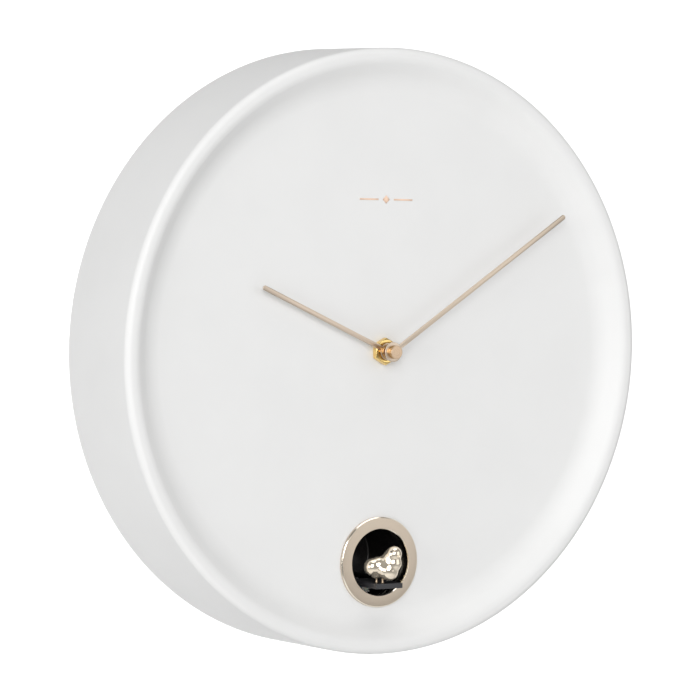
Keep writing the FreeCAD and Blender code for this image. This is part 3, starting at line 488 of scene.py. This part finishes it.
def hexagon_nut(flats, bore, back, front):
    """Hex nut: at angle t the side stands at flats/2 over the cosine of the angle from the
    nearest flat, and a 30 degree cone lowers the front wherever that is past the chamfer ring."""
    angle = np.linspace(0, 2 * math.pi, 180, endpoint=False)
    off = (angle + math.pi / 6) % (math.pi / 3) - math.pi / 6
    side = flats / 2 / np.cos(off)
    ring = flats / 2 * 0.965
    drop = (side - ring) * math.tan(math.radians(30))
    whole = np.ones_like(angle)
    rows = [((bore + 0.3) * whole, back * whole), (ring * whole, back * whole),
            (side, back + drop), (side, front - drop), (ring * whole, front * whole),
            ((bore + 0.35) * whole, front * whole), (bore * whole, (front - 0.35) * whole),
            (bore * whole, (back + 0.3) * whole)]
    points = np.concatenate([np.stack([r * np.cos(angle), -d, r * np.sin(angle)], -1)
                             for r, d in rows]) * MM
    return points, grid_faces(len(rows), len(angle))


def threaded_outline(radius, bore, back, front, pitch, deep):
    """Outline of a pipe whose outside is cut in ridges one pitch apart."""
    steps = int((front - back - 0.6) / pitch * 2)
    outside = [(radius - (deep if step % 2 else 0), back + 0.3 + step * pitch / 2)
               for step in range(steps + 1)]
    return np.array([(bore, back), (radius - 0.3, back)] + outside
                    + [(radius - 0.4, front), (bore + 0.15, front), (bore, front - 0.15)])


nut = mesh_object("gilt_hex_nut", *hexagon_nut(nut_flats, stem_radius + 0.03, nut_back, nut_front),
                  body="case", slot="hub_brass", replaces=("hex_nut",))
eased(nut, 0.12)
nut.data.materials.append(hub_brass)
stem_back = -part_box("threaded_bushing")[1][1] / MM
stem_parts = [turned(threaded_outline(stem_radius, 2.57, stem_back, nut_front, 0.75, 0.3), 96),
              turned(rounded([(3.9, stem_back), (5.0, stem_back, 0.2),
                              (5.0, stem_back + 0.9, 0.2), (3.9, stem_back + 0.9)]), 96)]
stem = mesh_object("threaded_stem", *joined(*stem_parts), body="case", slot="hub_brass",
                   replaces=("threaded_bushing",))
stem.data.materials.append(hub_brass)

# ---------------------------------------------------------------- hands
# Two straight strips stamped from aluminium sheet and anodised pale gold, each riveted to a
# brass collet that grips its pipe or arbor; a round cap nut holds the minute hand on.
hand_gold = metal("hand_gold", (0.69, 0.58, 0.47), (0.65, 0.54, 0.43), 0.36, 0.05, 0.15, rings=0.0)
# The collets and the cap's sides get a darker brown gilt than the cap's front: painted shade for
# the darker reflections on them.
collet_gold_painted_shade = metal("collet_gold_painted_shade", (0.66, 0.44, 0.22), (0.52, 0.32, 0.14), 0.24, 0.05, 0.25)
cap_gold = metal("cap_gold", (0.60, 0.45, 0.32), (0.56, 0.41, 0.28), 0.30, 0.05, 0.2)


def hand_blank(length, width, eye, bore, back, front, angle):
    """A hand: one ring of points runs up the strip, round its tip, down and round the eye, a
    matching ring runs round the bore, and both stand at the back and at the front."""
    half = width / 2
    start = math.asin(half / eye)
    tip = [(half * math.cos(t), length - half + half * math.sin(t))
           for t in np.linspace(0, math.pi, 17)]
    around = np.linspace(math.pi / 2 + start, 2 * math.pi + math.pi / 2 - start, 73)
    ring = [(eye * math.cos(t), eye * math.sin(t)) for t in around]
    stations = [eye * math.cos(start) + (length - half - eye * math.cos(start)) * f
                for f in np.linspace(0, 1, 12)[1:-1]]
    outer = np.array([(half, z) for z in stations] + tip + [(-half, z) for z in stations[::-1]]
                     + ring)
    way = np.arctan2(outer[:, 1], outer[:, 0])
    inner = np.stack([bore * np.cos(way), bore * np.sin(way)], -1)
    turn = math.radians(angle)
    count = len(outer)
    points = []
    for flat, depth in ((outer, back), (outer, front), (inner, front), (inner, back)):
        x = flat[:, 0] * math.cos(turn) + flat[:, 1] * math.sin(turn)
        z = -flat[:, 0] * math.sin(turn) + flat[:, 1] * math.cos(turn)
        points.append(np.stack([x, np.full(count, -depth), z], -1))
    return np.concatenate(points) * MM, grid_faces(4, count)


def node_depths(node):
    """Back and front of a CAD node in mm in front of the wall."""
    low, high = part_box(node)
    return -high[1] / MM, -low[1] / MM


hand_width = 2.4
hour_length, hour_eye, hour_bore, hour_angle = 79.1, 4.2, 2.52, 293.4
minute_length, minute_eye, minute_bore, minute_angle = 123.0, 4.9, 1.77, 56.2
hour_back, hour_front = node_depths("hour_hand")
minute_back, minute_front = node_depths("minute_hand")
hour_strip = mesh_object("hour_hand_strip",
                         *hand_blank(hour_length, hand_width, hour_eye, hour_bore,
                                     hour_back, hour_front, hour_angle),
                         body="hour_train", slot="hand_gold", replaces=("hour_hand",))
minute_strip = mesh_object("minute_hand_strip",
                           *hand_blank(minute_length, hand_width, minute_eye, minute_bore,
                                       minute_back, minute_front, minute_angle),
                           body="minute_train", slot="hand_gold", replaces=("minute_hand",))
for strip in (hour_strip, minute_strip):
    eased(strip, 0.1)
    strip.data.materials.append(hand_gold)
collet_back, collet_front = node_depths("hour_collet")
hour_ring = mesh_object("hour_hand_collet", *turned(rounded(
    [(hour_bore, collet_back), (3.7, collet_back), (3.7, collet_front, 0.25),
     (hour_bore, collet_front, 0.1)]), 96),
    body="hour_train", slot="hub_brass", replaces=("hour_collet",))
collet_back, collet_front = node_depths("minute_collet")
minute_ring = mesh_object("minute_hand_collet", *turned(rounded(
    [(minute_bore, collet_back, 0.1), (3.2, collet_back, 0.2), (3.2, collet_front),
     (minute_bore, collet_front)]), 96),
    body="minute_train", slot="hub_brass", replaces=("minute_collet",))
for ring in (hour_ring, minute_ring):
    ring.data.materials.append(collet_gold_painted_shade)
cap_back, cap_front = node_depths("hand_cap")
cap = mesh_object("minute_hand_cap", *turned(rounded(
    [(1.42, cap_back), (3.3, cap_back, 0.15), (3.3, cap_front, 0.22), (0, cap_front),
     (0, cap_front - 0.4), (1.42, cap_front - 0.4)]), 96),
    body="minute_train", slot="hub_brass", replaces=("hand_cap",))
cap.data.materials.append(cap_gold)
cap.data.materials.append(collet_gold_painted_shade)
# Front faces of the cap keep cap_gold; its sides take the darker collet gold as painted shade.
for face in cap.data.polygons:
    face.material_index = 0 if face.normal.y < -0.6 else 1

# ---------------------------------------------------------------- bezel ring of the bird port
# A turned aluminium ring, anodised champagne, with a narrow chamfer on both edges whose paler
# colour, also on the bore, is a painted highlight; a sleeve behind it goes through the dial.
bezel_champagne = metal("bezel_champagne", (0.64, 0.55, 0.45), (0.60, 0.51, 0.41), 0.42, 0.05,
                        0.2, centre=(0, 0, port_z * MM))
# Edge material: its paler colour on the chamfers and the bore is a painted highlight.
bezel_edge_painted_highlight = metal("bezel_edge_painted_highlight", (0.95, 0.88, 0.76), (0.92, 0.84, 0.70), 0.16, 0.04, 0.1,
                   centre=(0, 0, port_z * MM))
bezel_radius = port_high[0] / MM
bezel_front = -port_low[1] / MM
sleeve_back = -port_high[1] / MM
bezel_outline = rounded([
    (bezel_radius, dial_front, 0.05), (bezel_radius, bezel_front - 0.95, 0.1),
    (bezel_radius - 0.5, bezel_front - 0.5, 0.1), (port_bore + 0.45, bezel_front, 0.1),
    (port_bore, bezel_front - 0.5, 0.1), (port_bore, sleeve_back, 0.1),
    (port_bore + 1.8, sleeve_back, 0.2), (port_bore + 1.8, dial_front)], steps=3)
bezel = mesh_object("port_bezel", *turned(bezel_outline, 240, 0, port_z), body="case",
                    slot="bezel_champagne", replaces=("bezel_ring",))
bezel.data.materials.append(bezel_champagne)
bezel.data.materials.append(bezel_edge_painted_highlight)
# Chamfer faces and bore faces take the paler edge material: a painted highlight.
for face in bezel.data.polygons:
    middle = face.center
    reach = math.hypot(middle.x, middle.z - port_z * MM) / MM
    front = -middle.y / MM
    on_highlight_edge = front > bezel_front - 1.0 and abs(face.normal.y) < 0.97
    face.material_index = 1 if on_highlight_edge or reach < port_bore + 0.2 else 0

# ---------------------------------------------------------------- tunnel behind the port
# Glossy black cup in ABS, screwed behind the dial by its flange; four ledges inside it keep
# the sled level, and the drive shaft crosses it low down.


def glossy_black(name, rough, coat):
    """Black plastic off a polished tool: faint haze in the roughness and a clear coat."""
    return moulded(name, (0.012, 0.011, 0.011), (0.008, 0.007, 0.007), rough, 900, 0.03, coat)


black_gloss = glossy_black("black_gloss", 0.24, 0.15)
black_plastic = moulded("black_plastic", (0.030, 0.030, 0.034), (0.022, 0.022, 0.025), 0.38, 5200,
                        0.15)
tunnel_bore, tunnel_outer, tunnel_back = 19.4, 21.0, node_depths("bird_tunnel")[0]
perch_low, perch_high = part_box("perch_sled")
perch_top, perch_bottom = perch_high[2] / MM, perch_low[2] / MM
perch_front = -perch_low[1] / MM
ledge_reach = perch_high[0] / MM - 1.5
tunnel_parts = [turned(rounded([
    (0, tunnel_back), (tunnel_outer, tunnel_back, 0.8), (tunnel_outer, dial_back - 1.5, 0.5),
    (tunnel_outer + 3, dial_back - 1.5, 0.4), (tunnel_outer + 3, dial_back),
    (tunnel_bore, dial_back, 0.2), (tunnel_bore, tunnel_back + 1.2, 1.5),
    (0, tunnel_back + 1.2)]), 180, 0, port_z)]
for side in (-1, 1):
    for low, high in ((perch_bottom - 1.1, perch_bottom - 0.3), (perch_top + 0.3, perch_top + 1.5)):
        rise = np.linspace(low, high, 5)
        out = np.sqrt((tunnel_bore + 0.4) ** 2 - (rise - port_z) ** 2)
        outline = [(side * ledge_reach, low)] + list(zip(side * out, rise)) \
            + [(side * ledge_reach, high)]
        tunnel_parts.append(prism(outline, tunnel_back + 1.0, dial_back - 6.0))
tunnel = mesh_object("port_tunnel", *joined(*tunnel_parts), body="case", slot="black_gloss",
                     replaces=("bird_tunnel",))
tunnel.data.materials.append(black_gloss)

# ---------------------------------------------------------------- perch sled
# Black acetal plate that runs on the ledges; a rack is cut in its underside, and the bird's
# two legs are pressed into its top.


def softened(node, name, body, material, width):
    """A merged copy of a CAD node with its flat faces made whole and its edges rounded."""
    source = nodes[node]
    mesh = source.data.copy()
    mesh.name = name
    mesh.transform(source.matrix_world)
    mesh.materials.clear()
    merge_points(mesh, 2e-6, math.radians(0.6))
    piece = add_object(name, mesh)
    eased(piece, width)
    piece.data.materials.append(material)
    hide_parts(node)
    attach(piece, body)
    return piece


softened("perch_sled", "perch_plate", "bird_sled", black_plastic, 0.18)

# ---------------------------------------------------------------- bird
# Zinc casting, polished and plated in champagne gold, half turned on its perch: breast, raised
# head with a small beak, a round tail lobe, and two short legs of darker bronze.
bird_gold = metal("bird_gold", (0.93, 0.83, 0.68), (0.91, 0.80, 0.64), 0.09, 0.025, 0.06,
                  scale=1500)
bird_gold.node_tree.nodes["Principled BSDF"].inputs["Metallic"].default_value = 0.8
bead_black = glossy_black("bead_black", 0.1, 0.5)
leg_bronze = metal("leg_bronze", (0.36, 0.28, 0.20), (0.30, 0.23, 0.16), 0.36, 0.04, 0.1,
                   scale=3000)
bird_mass = [
    ((0.7, perch_front - 2.6, perch_top + 6.3), (4.8, 4.8, 4.9)),
    ((1.6, perch_front - 2.0, perch_top + 4.8), (3.1, 3.1, 3.1)),
    ((2.5, perch_front - 0.8, perch_top + 10.0), (4.0, 4.0, 4.0)),
    ((2.4, perch_front - 0.3, perch_top + 14.6), (3.8, 3.8, 3.8)),
    ((1.5, perch_front - 2.2, perch_top + 12.6), (3.7, 3.7, 3.7)),
    ((0.6, perch_front - 3.4, perch_top + 10.2), (4.0, 4.0, 4.0)),
    ((-2.8, perch_front - 5.8, perch_top + 9.2), (3.6, 3.6, 3.7)),
    ((-1.1, perch_front - 4.4, perch_top + 7.1), (3.9, 3.9, 3.9)),
    ((-5.9, perch_front - 7.2, perch_top + 7.8), (4.0, 4.0, 4.2)),
    ((-3.9, perch_front - 6.8, perch_top + 4.2), (2.3, 2.3, 2.3))]


def ball_angles(rows, columns):
    """Angles from pole to pole and round the waist, one pair for each point of a ball."""
    return np.meshgrid(np.linspace(0, math.pi, rows),
                       np.linspace(0, 2 * math.pi, columns, endpoint=False), indexing="ij")


def bird_skin(rows=120, columns=160, softness=0.13):
    """The bird's skin: along each direction from the middle of the back, the furthest point
    where the sum of soft falls-off round the casting's ellipsoids still makes one solid."""
    centre = np.array([0.0, perch_front - 3.6, perch_top + 8.8])
    p, t = ball_angles(rows, columns)
    way = np.stack([np.sin(p) * np.cos(t), np.sin(p) * np.sin(t), np.cos(p)], -1)

    def inside(reach):
        spot = centre + way * reach[..., None]
        total = 0
        for middle, half in bird_mass:
            far = np.sqrt((((spot - np.array(middle)) / np.array(half)) ** 2).sum(-1))
            total = total + np.exp(-(far - 1) / softness)
        return total > 1

    outer = np.full(p.shape, 16.0)
    while not inside(outer - 0.2).all():
        outer = np.where(inside(outer - 0.2), outer, outer - 0.2)
    inner = outer - 0.2
    for _ in range(12):
        halfway = (inner + outer) / 2
        within = inside(halfway)
        inner = np.where(within, halfway, inner)
        outer = np.where(within, outer, halfway)
    reach = (inner + outer) / 2
    points = centre + way * reach[..., None]
    points = np.stack([points[..., 0], -points[..., 1], points[..., 2]], -1).reshape(-1, 3) * MM
    return points, grid_faces(rows, columns, closed=False)


def egg(middle, half, rows=20, columns=32, lean=0.0):
    """An egg: a ball stretched along each axis, leaned forward about the crosswise axis."""
    p, t = ball_angles(rows, columns)
    x = half[0] * np.sin(p) * np.cos(t)
    d = half[1] * np.cos(p)
    z = half[2] * np.sin(p) * np.sin(t)
    tilt = math.radians(lean)
    depth = middle[1] + d * math.cos(tilt) - z * math.sin(tilt)
    rise = middle[2] + d * math.sin(tilt) + z * math.cos(tilt)
    points = np.stack([middle[0] + x, -depth, rise], -1).reshape(-1, 3) * MM
    return points, grid_faces(rows, columns, closed=False)


def upright_turned(outline, segments, x, depth):
    """Turn an outline of (radius, height) about an upright line."""
    points, faces = turned(outline, segments)
    return np.stack([points[:, 0] + x * MM, points[:, 2] - depth * MM, -points[:, 1]], -1), faces


skin_points, skin_faces = bird_skin()
legs = [upright_turned(rounded([(0, perch_top - 0.1), (0.9, perch_top - 0.1, 0.2),
                                (0.55, perch_top + 1.2, 0.4), (0.6, perch_top + 6.0),
                                (0, perch_top + 6.0)]), 24, x, perch_front - behind)
        for x, behind in ((-3.2, 7.0), (-1.2, 4.6))]
beak = egg((2.7, perch_front + 3.5, perch_top + 13.8), (0.7, 1.4, 0.65), lean=-12)
bird = mesh_object("gilt_bird", *joined((skin_points, skin_faces), beak, *legs),
                   body="bird_sled", slot="bird_gold", replaces=("bird",))
bird.data.materials.append(bird_gold)
bird.data.materials.append(leg_bronze)
for face in bird.data.polygons[len(skin_faces) + len(beak[1]):]:
    face.material_index = 1
eyes = mesh_object("bird_eyes", *joined(*[egg((x, perch_front + 1.5, perch_top + 15.9),
                                              (0.4, 0.4, 0.4), 12, 16) for x in (-0.6, 5.6)]),
                   body="bird_sled", slot="black_gloss")
eyes.data.materials.append(bead_black)

# ---------------------------------------------------------------- rear cover, door and fixings
# A recessed white cover in ABS with a fine matt texture, four zinc-plated screws into the case
# bosses, a battery door on stub pins, a steel keyhole plate and two rubber pads on the wall.
white_cover = moulded("white_cover", (0.76, 0.76, 0.75), (0.73, 0.73, 0.72), 0.55, 3200, 0.3)
softened("rear_cover", "cover_disc", "case", white_cover, 0.25)
softened("battery_door", "battery_hatch", "battery_lid", white_cover, 0.2)
zinc = metal("screw_steel", (0.66, 0.67, 0.70), (0.58, 0.59, 0.62), 0.28, 0.06, 0.3, scale=7000)
cover_back = node_depths("rear_cover")[0]


def pan_screw(head, shank, back, under, tip, pitch, x, z):
    """Pan-head screw: a domed head, then a shank whose radius rises and falls once a pitch and
    runs to a point.  `back` is the head's top, `under` its seat and `tip` the point."""
    arc = np.linspace(0, math.pi / 2, 9)
    dome = [(head * math.sin(t), back + (under - back) * 0.55 * (1 - math.cos(t))) for t in arc]
    thread = [(shank * (0.78 if step % 2 else 1.0), under + step * pitch / 2)
              for step in range(int((tip - under - 1.2) / pitch * 2))]
    outline = np.array(dome + [(head, under), (shank, under)] + thread[1:] + [(0.0, tip)])
    return turned(outline, 40, x, z)


def cross_recess(piece, centres, top, reach, deep):
    """Sink a cross into each screw head with two crossed bars."""
    for x, z in centres:
        for wide, tall in ((reach, 0.32), (0.32, reach)):
            points, faces = prism([(x - wide, z - tall), (x + wide, z - tall),
                                   (x + wide, z + tall), (x - wide, z + tall)],
                                  top - 0.5, top + deep)
            bore_through(piece, points, np.array(faces))


cover_places = [(screw_circle * math.cos(a), screw_circle * math.sin(a)) for a in
                (math.radians(45 + 90 * step) for step in range(4))]
head_top, screw_tip = node_depths("cover_screws")
cover_screws = mesh_object("cover_screw_set", *joined(*[
    pan_screw(3.2, 1.45, head_top, cover_back, screw_tip, 1.0, x, z) for x, z in cover_places]),
    body="case", slot="screw_steel", replaces=("cover_screws",))
cross_recess(cover_screws, cover_places, head_top, 1.5, 1.1)
hanger_z = (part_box("hanger_plate")[0][2] + 0.012) / MM
small_back, small_front = node_depths("small_screws")
hanger_places = [(-15, hanger_z), (15, hanger_z)]
bracket_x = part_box("motor_bracket")[0][0] / MM + 7
bracket_places = [(bracket_x, port_z + 1.2), (bracket_x, port_z - 7.8)]
small_sets = [pan_screw(2.4, 1.2, small_back, small_back + 1.1, small_back + 6.2, 0.8, x, z)
              for x, z in hanger_places]
small_sets += [pan_screw(2.4, 1.2, small_front - 6.2, small_front - 5.1, small_front, 0.8, x, z)
               for x, z in bracket_places]
small_screws = mesh_object("small_screw_set", *joined(*small_sets), body="case",
                           slot="screw_steel", replaces=("small_screws",))
cross_recess(small_screws, hanger_places, small_back, 1.1, 0.8)
for screws in (cover_screws, small_screws):
    screws.data.shade_smooth()
    screws.data.set_sharp_from_angle(angle=math.radians(38))
    screws.data.materials.clear()
    screws.data.materials.append(zinc)
hanger_steel = metal("hanger_steel", (0.68, 0.69, 0.70), (0.60, 0.61, 0.62), 0.34, 0.07, 0.3,
                     rings=0.0, scale=5000)
softened("hanger_plate", "keyhole_plate", "case", hanger_steel, 0.15)
rubber = moulded("bumper_rubber", (0.055, 0.055, 0.055), (0.04, 0.04, 0.04), 0.75, 2600, 0.4)
pad_low, pad_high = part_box("wall_bumpers")
pad_x = pad_high[0] / MM - 6
pad_z = (pad_low[2] + pad_high[2]) / 2 / MM
pad_outline = rounded([(0, 0), (6, 0, 1.0), (6, 3.0, 0.2), (0, 3.0)])
pads = mesh_object("wall_pads", *joined(turned(pad_outline, 48, -pad_x, pad_z),
                                        turned(pad_outline, 48, pad_x, pad_z)),
                   body="case", slot="bumper_rubber", replaces=("wall_bumpers",))
pads.data.materials.append(rubber)

# ---------------------------------------------------------------- clock movement
# A quartz movement in a black plastic case, clamped behind the dial over a rubber ring.  Inside
# are the stepper with its copper coil, the nylon wheels and the driver board.
for node, name in (("movement_front", "movement_tray"), ("movement_back", "movement_lid")):
    softened(node, name, "case", black_plastic, 0.2)
core_steel = metal("core_steel", (0.60, 0.60, 0.62), (0.52, 0.52, 0.54), 0.30, 0.06, 0.25,
                   rings=0.0)
nylon = moulded("white_nylon", (0.78, 0.77, 0.72), (0.74, 0.73, 0.68), 0.38, 4000, 0.08)
nylon.node_tree.nodes["Principled BSDF"].inputs["Subsurface Weight"].default_value = 0.15
nylon.node_tree.nodes["Principled BSDF"].inputs["Subsurface Scale"].default_value = 0.0006


def dress(node, material):
    """Give a CAD node its material in every slot."""
    mesh = nodes[node].data
    if not mesh.materials:
        mesh.materials.append(material)
    for index in range(len(mesh.materials)):
        mesh.materials[index] = material


def relief(tree, shader, mask, socket, colours, lift, height, rough):
    """A mask from 0 to 1 mixes two colours, lifts the normal and moves the roughness."""
    mix = mix_colours(tree, *colours)
    bump = tree.nodes.new("ShaderNodeBump")
    bump.inputs["Strength"].default_value = lift
    bump.inputs["Distance"].default_value = height
    satin = ramp_between(tree, 0, 1, *rough)
    wire(tree, mask, socket, mix, "Factor")
    wire(tree, mask, socket, bump, "Height")
    wire(tree, mask, socket, satin, "Value")
    wire(tree, mix, "Result", shader, "Base Color")
    wire(tree, bump, "Normal", shader, "Normal")
    wire(tree, satin, "Result", shader, "Roughness")


def banded(name, colours, along, period, rough, metallic):
    """Bands across an axis: a sine wave on object coordinates, as for wire turns or the rings
    of a spring.  The first colour lies in each band's low part: painted shade in the grooves."""
    material, tree, shader = blank(name)
    place = tree.nodes.new("ShaderNodeTexCoord")
    wave = tree.nodes.new("ShaderNodeTexWave")
    wave.bands_direction = along
    wave.inputs["Scale"].default_value = math.pi / 10 / period
    wave.inputs["Distortion"].default_value = 0.3
    wire(tree, place, "Object", wave, "Vector")
    relief(tree, shader, wave, "Fac", colours, 0.6, 0.00006, (rough + 0.1, rough))
    shader.inputs["Metallic"].default_value = metallic
    return material


def laminate():
    """Circuit board: green resist with paler copper tracks, from the distance to the second
    nearest cell of a noise whose cells are straight sided."""
    material, tree, shader = blank("board_laminate")
    place = tree.nodes.new("ShaderNodeTexCoord")
    cells = tree.nodes.new("ShaderNodeTexVoronoi")
    cells.distance = "MANHATTAN"
    cells.feature = "F2"
    cells.inputs["Scale"].default_value = 260
    tracks = ramp_between(tree, 0.62, 0.70, 0.0, 1.0)
    wire(tree, place, "Object", cells, "Vector")
    wire(tree, cells, "Distance", tracks, "Value")
    relief(tree, shader, tracks, "Result", ((0.015, 0.12, 0.05), (0.04, 0.22, 0.09)),
           0.4, 0.00004, (0.34, 0.24))
    return material


board_laminate = laminate()
# Copper wire: the darker copper between turns is painted shade.
copper_wire = banded("copper_wire", ((0.40, 0.14, 0.05), (0.85, 0.42, 0.22)), "X", 0.00016, 0.3,
                     1.0)
magnet_grey = moulded("magnet", (0.09, 0.09, 0.10), (0.06, 0.06, 0.065), 0.5, 2400, 0.3)
for node in ("third_wheel", "third_pinion", "centre_wheel", "hour_wheel", "motion_wheel",
             "rotor_pinion", "set_arbor", "coil_bobbin"):
    dress(node, nylon)
dress("minute_arbor", hub_brass)
dress("movement_gasket", rubber)
dress("stator", core_steel)
dress("coil_winding", copper_wire)
dress("movement_board", board_laminate)
dress("rotor_magnet", magnet_grey)

# ---------------------------------------------------------------- setting knob
# Black acetal knob pressed on the setting arbor; eighteen flutes round its rim give a grip.
knob_low, knob_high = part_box("set_knob")
knob_x = (knob_low[0] + knob_high[0]) / 2 / MM
knob_z = (knob_low[2] + knob_high[2]) / 2 / MM
knob_back, knob_front = node_depths("set_knob")


def fluted_knob(segments=288):
    """The knob's outline turned about its axis; on the rim the radius dips eighteen times round
    by the fourth power of a cosine."""
    outline = rounded([(0, knob_back + 0.6), (5.2, knob_back + 0.6, 0.3), (5.4, knob_back, 0.3),
                       (7.0, knob_back, 0.6), (7.0, knob_back + 6.6, 0.5),
                       (3.2, knob_back + 8, 0.4), (3.2, knob_front, 0.2),
                       (1.02, knob_front, 0.1), (1.02, knob_front - 6), (0, knob_front - 6)],
                      steps=5)
    points, faces = turned(outline, segments)
    radius = np.hypot(points[:, 0], points[:, 2])
    angle = np.arctan2(points[:, 2], points[:, 0])
    on_rim = np.clip((radius / MM - 6.0) / 1.0, 0, 1)
    dip = 1 - 0.11 * on_rim * np.cos(9 * angle) ** 4
    points[:, 0] = points[:, 0] * dip + knob_x * MM
    points[:, 2] = points[:, 2] * dip + knob_z * MM
    return points, faces


knob = mesh_object("fluted_setting_knob", *fluted_knob(), body="setting_knob",
                   slot="black_plastic", replaces=("set_knob",))
knob.data.materials.append(black_plastic)

# ---------------------------------------------------------------- bird drive
# A small can motor on a zinc-plated bracket turns a nylon wheel; the pinion on the same shaft
# drives the rack under the perch.
softened("motor_bracket", "drive_bracket", "case", hanger_steel, 0.12)
softened("motor_can", "motor_shell", "case", core_steel, 0.2)
dress("motor_end_cap", black_plastic)
dress("motor_rotor", core_steel)
dress("motor_pinion", hub_brass)
dress("sled_gear_shaft", core_steel)
dress("sled_pinion", nylon)
dress("sled_drive_wheel", nylon)

# ---------------------------------------------------------------- sound board and controls
# A green board on four posts carries the chip, a capacitor, the volume slide switch and the
# test button; the loudspeaker sits behind slots in the cover, with a paper cone.
softened("circuit_board", "sound_board", "case", board_laminate, 0.1)
softened("board_parts", "board_chip_capacitor", "case", black_plastic, 0.12)
softened("volume_switch", "slide_switch", "case", black_plastic, 0.15)
softened("volume_slider", "slide_grip", "volume_control", black_plastic, 0.25)
softened("button_switch", "push_switch", "case", black_plastic, 0.15)
button_low, button_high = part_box("test_button")
button_x = (button_low[0] + button_high[0]) / 2 / MM
button_z = (button_low[2] + button_high[2]) / 2 / MM
button_back, button_front = node_depths("test_button")
button = mesh_object("domed_test_button", *turned(rounded([
    (0, button_back), (1.6, button_back + 0.12, 1.5), (2.5, button_back + 0.5, 0.6),
    (2.5, button_front - 0.7), (3.5, button_front - 0.7, 0.1), (3.5, button_front, 0.1),
    (0, button_front)]), 64, button_x, button_z),
    body="test_push", slot="black_plastic", replaces=("test_button",))
button.data.materials.append(black_plastic)
speaker_paper = moulded("speaker_paper", (0.07, 0.068, 0.062), (0.05, 0.048, 0.044), 0.85, 1500,
                        0.6)
dress("speaker_cone", speaker_paper)
dress("speaker_basket", core_steel)
dress("speaker_magnet", magnet_grey)

# ---------------------------------------------------------------- battery tray and cells
# White tray behind the cover with three AA cells, wound springs and nickel-plated contacts;
# each cell is a steel can in a printed-film jacket that leaves its crimped ends bare.
softened("battery_tray", "cell_tray", "case", white_cover, 0.25)
cell_low, cell_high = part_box("battery_cells")
cell_depth = -(cell_low[1] + cell_high[1]) / 2 / MM
cell_radius = (cell_high[1] - cell_low[1]) / 2 / MM
cell_foot, cell_top = cell_low[2] / MM, cell_high[2] / MM


def cell_outline(foot, head, radius, up):
    """A cell's outline of (radius, height): flat end, crimped shoulders and a button."""
    shape = [(0, 0), (radius - 1.2, 0, 0.1), (radius - 0.9, 0.35, 0.2), (radius - 0.1, 0.35, 0.3),
             (radius, 1.0, 0.2), (radius, head - foot - 2.6, 0.4),
             (radius - 0.4, head - foot - 1.1, 0.4), (2.9, head - foot - 1.1, 0.2),
             (2.6, head - foot, 0.4), (0, head - foot)]
    line = rounded(shape, steps=4)
    if up:
        return np.stack([line[:, 0], foot + line[:, 1]], -1)
    return np.stack([line[:, 0], head - line[:, 1]], -1)


def jacket(middle, length):
    """Cell jacket: dark film with a copper-coloured third at one end, and bare steel past the
    film's ends, all chosen from the height on object coordinates."""
    material, tree, shader = blank("cell_jacket")
    place = tree.nodes.new("ShaderNodeTexCoord")
    split = tree.nodes.new("ShaderNodeSeparateXYZ")
    from_end = tree.nodes.new("ShaderNodeMath")
    from_end.operation = "ABSOLUTE"
    shift = tree.nodes.new("ShaderNodeMath")
    shift.operation = "SUBTRACT"
    shift.inputs[1].default_value = middle * MM
    bare = ramp_between(tree, (length / 2 - 1.4) * MM, (length / 2 - 1.3) * MM, 0.0, 1.0)
    third = ramp_between(tree, (length / 6 - 0.1) * MM, (length / 6) * MM, 0.0, 1.0)
    film = mix_colours(tree, (0.03, 0.03, 0.035), (0.62, 0.30, 0.12))
    skin = mix_colours(tree, (0, 0, 0), (0.66, 0.66, 0.68))
    wire(tree, place, "Object", split, "Vector")
    wire(tree, split, "Z", shift, 0)
    wire(tree, shift, "Value", from_end, 0)
    wire(tree, from_end, "Value", bare, "Value")
    wire(tree, shift, "Value", third, "Value")
    wire(tree, third, "Result", film, "Factor")
    wire(tree, film, "Result", skin, "A")
    wire(tree, bare, "Result", skin, "Factor")
    wire(tree, skin, "Result", shader, "Base Color")
    wire(tree, bare, "Result", shader, "Metallic")
    satin = ramp_between(tree, 0, 1, 0.28, 0.34)
    wire(tree, bare, "Result", satin, "Value")
    wire(tree, satin, "Result", shader, "Roughness")
    return material


cell_pitch = (cell_high[0] - cell_low[0]) / MM / 2 - cell_radius
cells = mesh_object("cell_trio", *joined(*[
    upright_turned(cell_outline(cell_foot, cell_top, cell_radius, step % 2 == 0), 72,
                   cell_low[0] / MM + cell_radius + cell_pitch * step, cell_depth)
    for step in range(3)]), body="case", slot="cell_jacket", replaces=("battery_cells",))
cells.data.materials.append(jacket((cell_foot + cell_top) / 2, cell_top - cell_foot))
# Contact springs: the darker grey between coils is painted shade.
contact_plate = banded("contact_plate", ((0.55, 0.54, 0.50), (0.78, 0.77, 0.72)), "Z", 0.0009, 0.22,
                       1.0)
dress("battery_contacts", contact_plate)

# ---------------------------------------------------------------- leads
# Sleeved leads from the board to the movement, loudspeaker, cells and motor, in glass-fibre
# sleeving with a fine weave.
sleeve_weave = moulded("lead_sleeve", (0.10, 0.10, 0.11), (0.05, 0.05, 0.055), 0.6, 2200, 0.6)
for node in ("movement_lead", "speaker_lead", "battery_lead", "motor_lead"):
    dress(node, sleeve_weave)
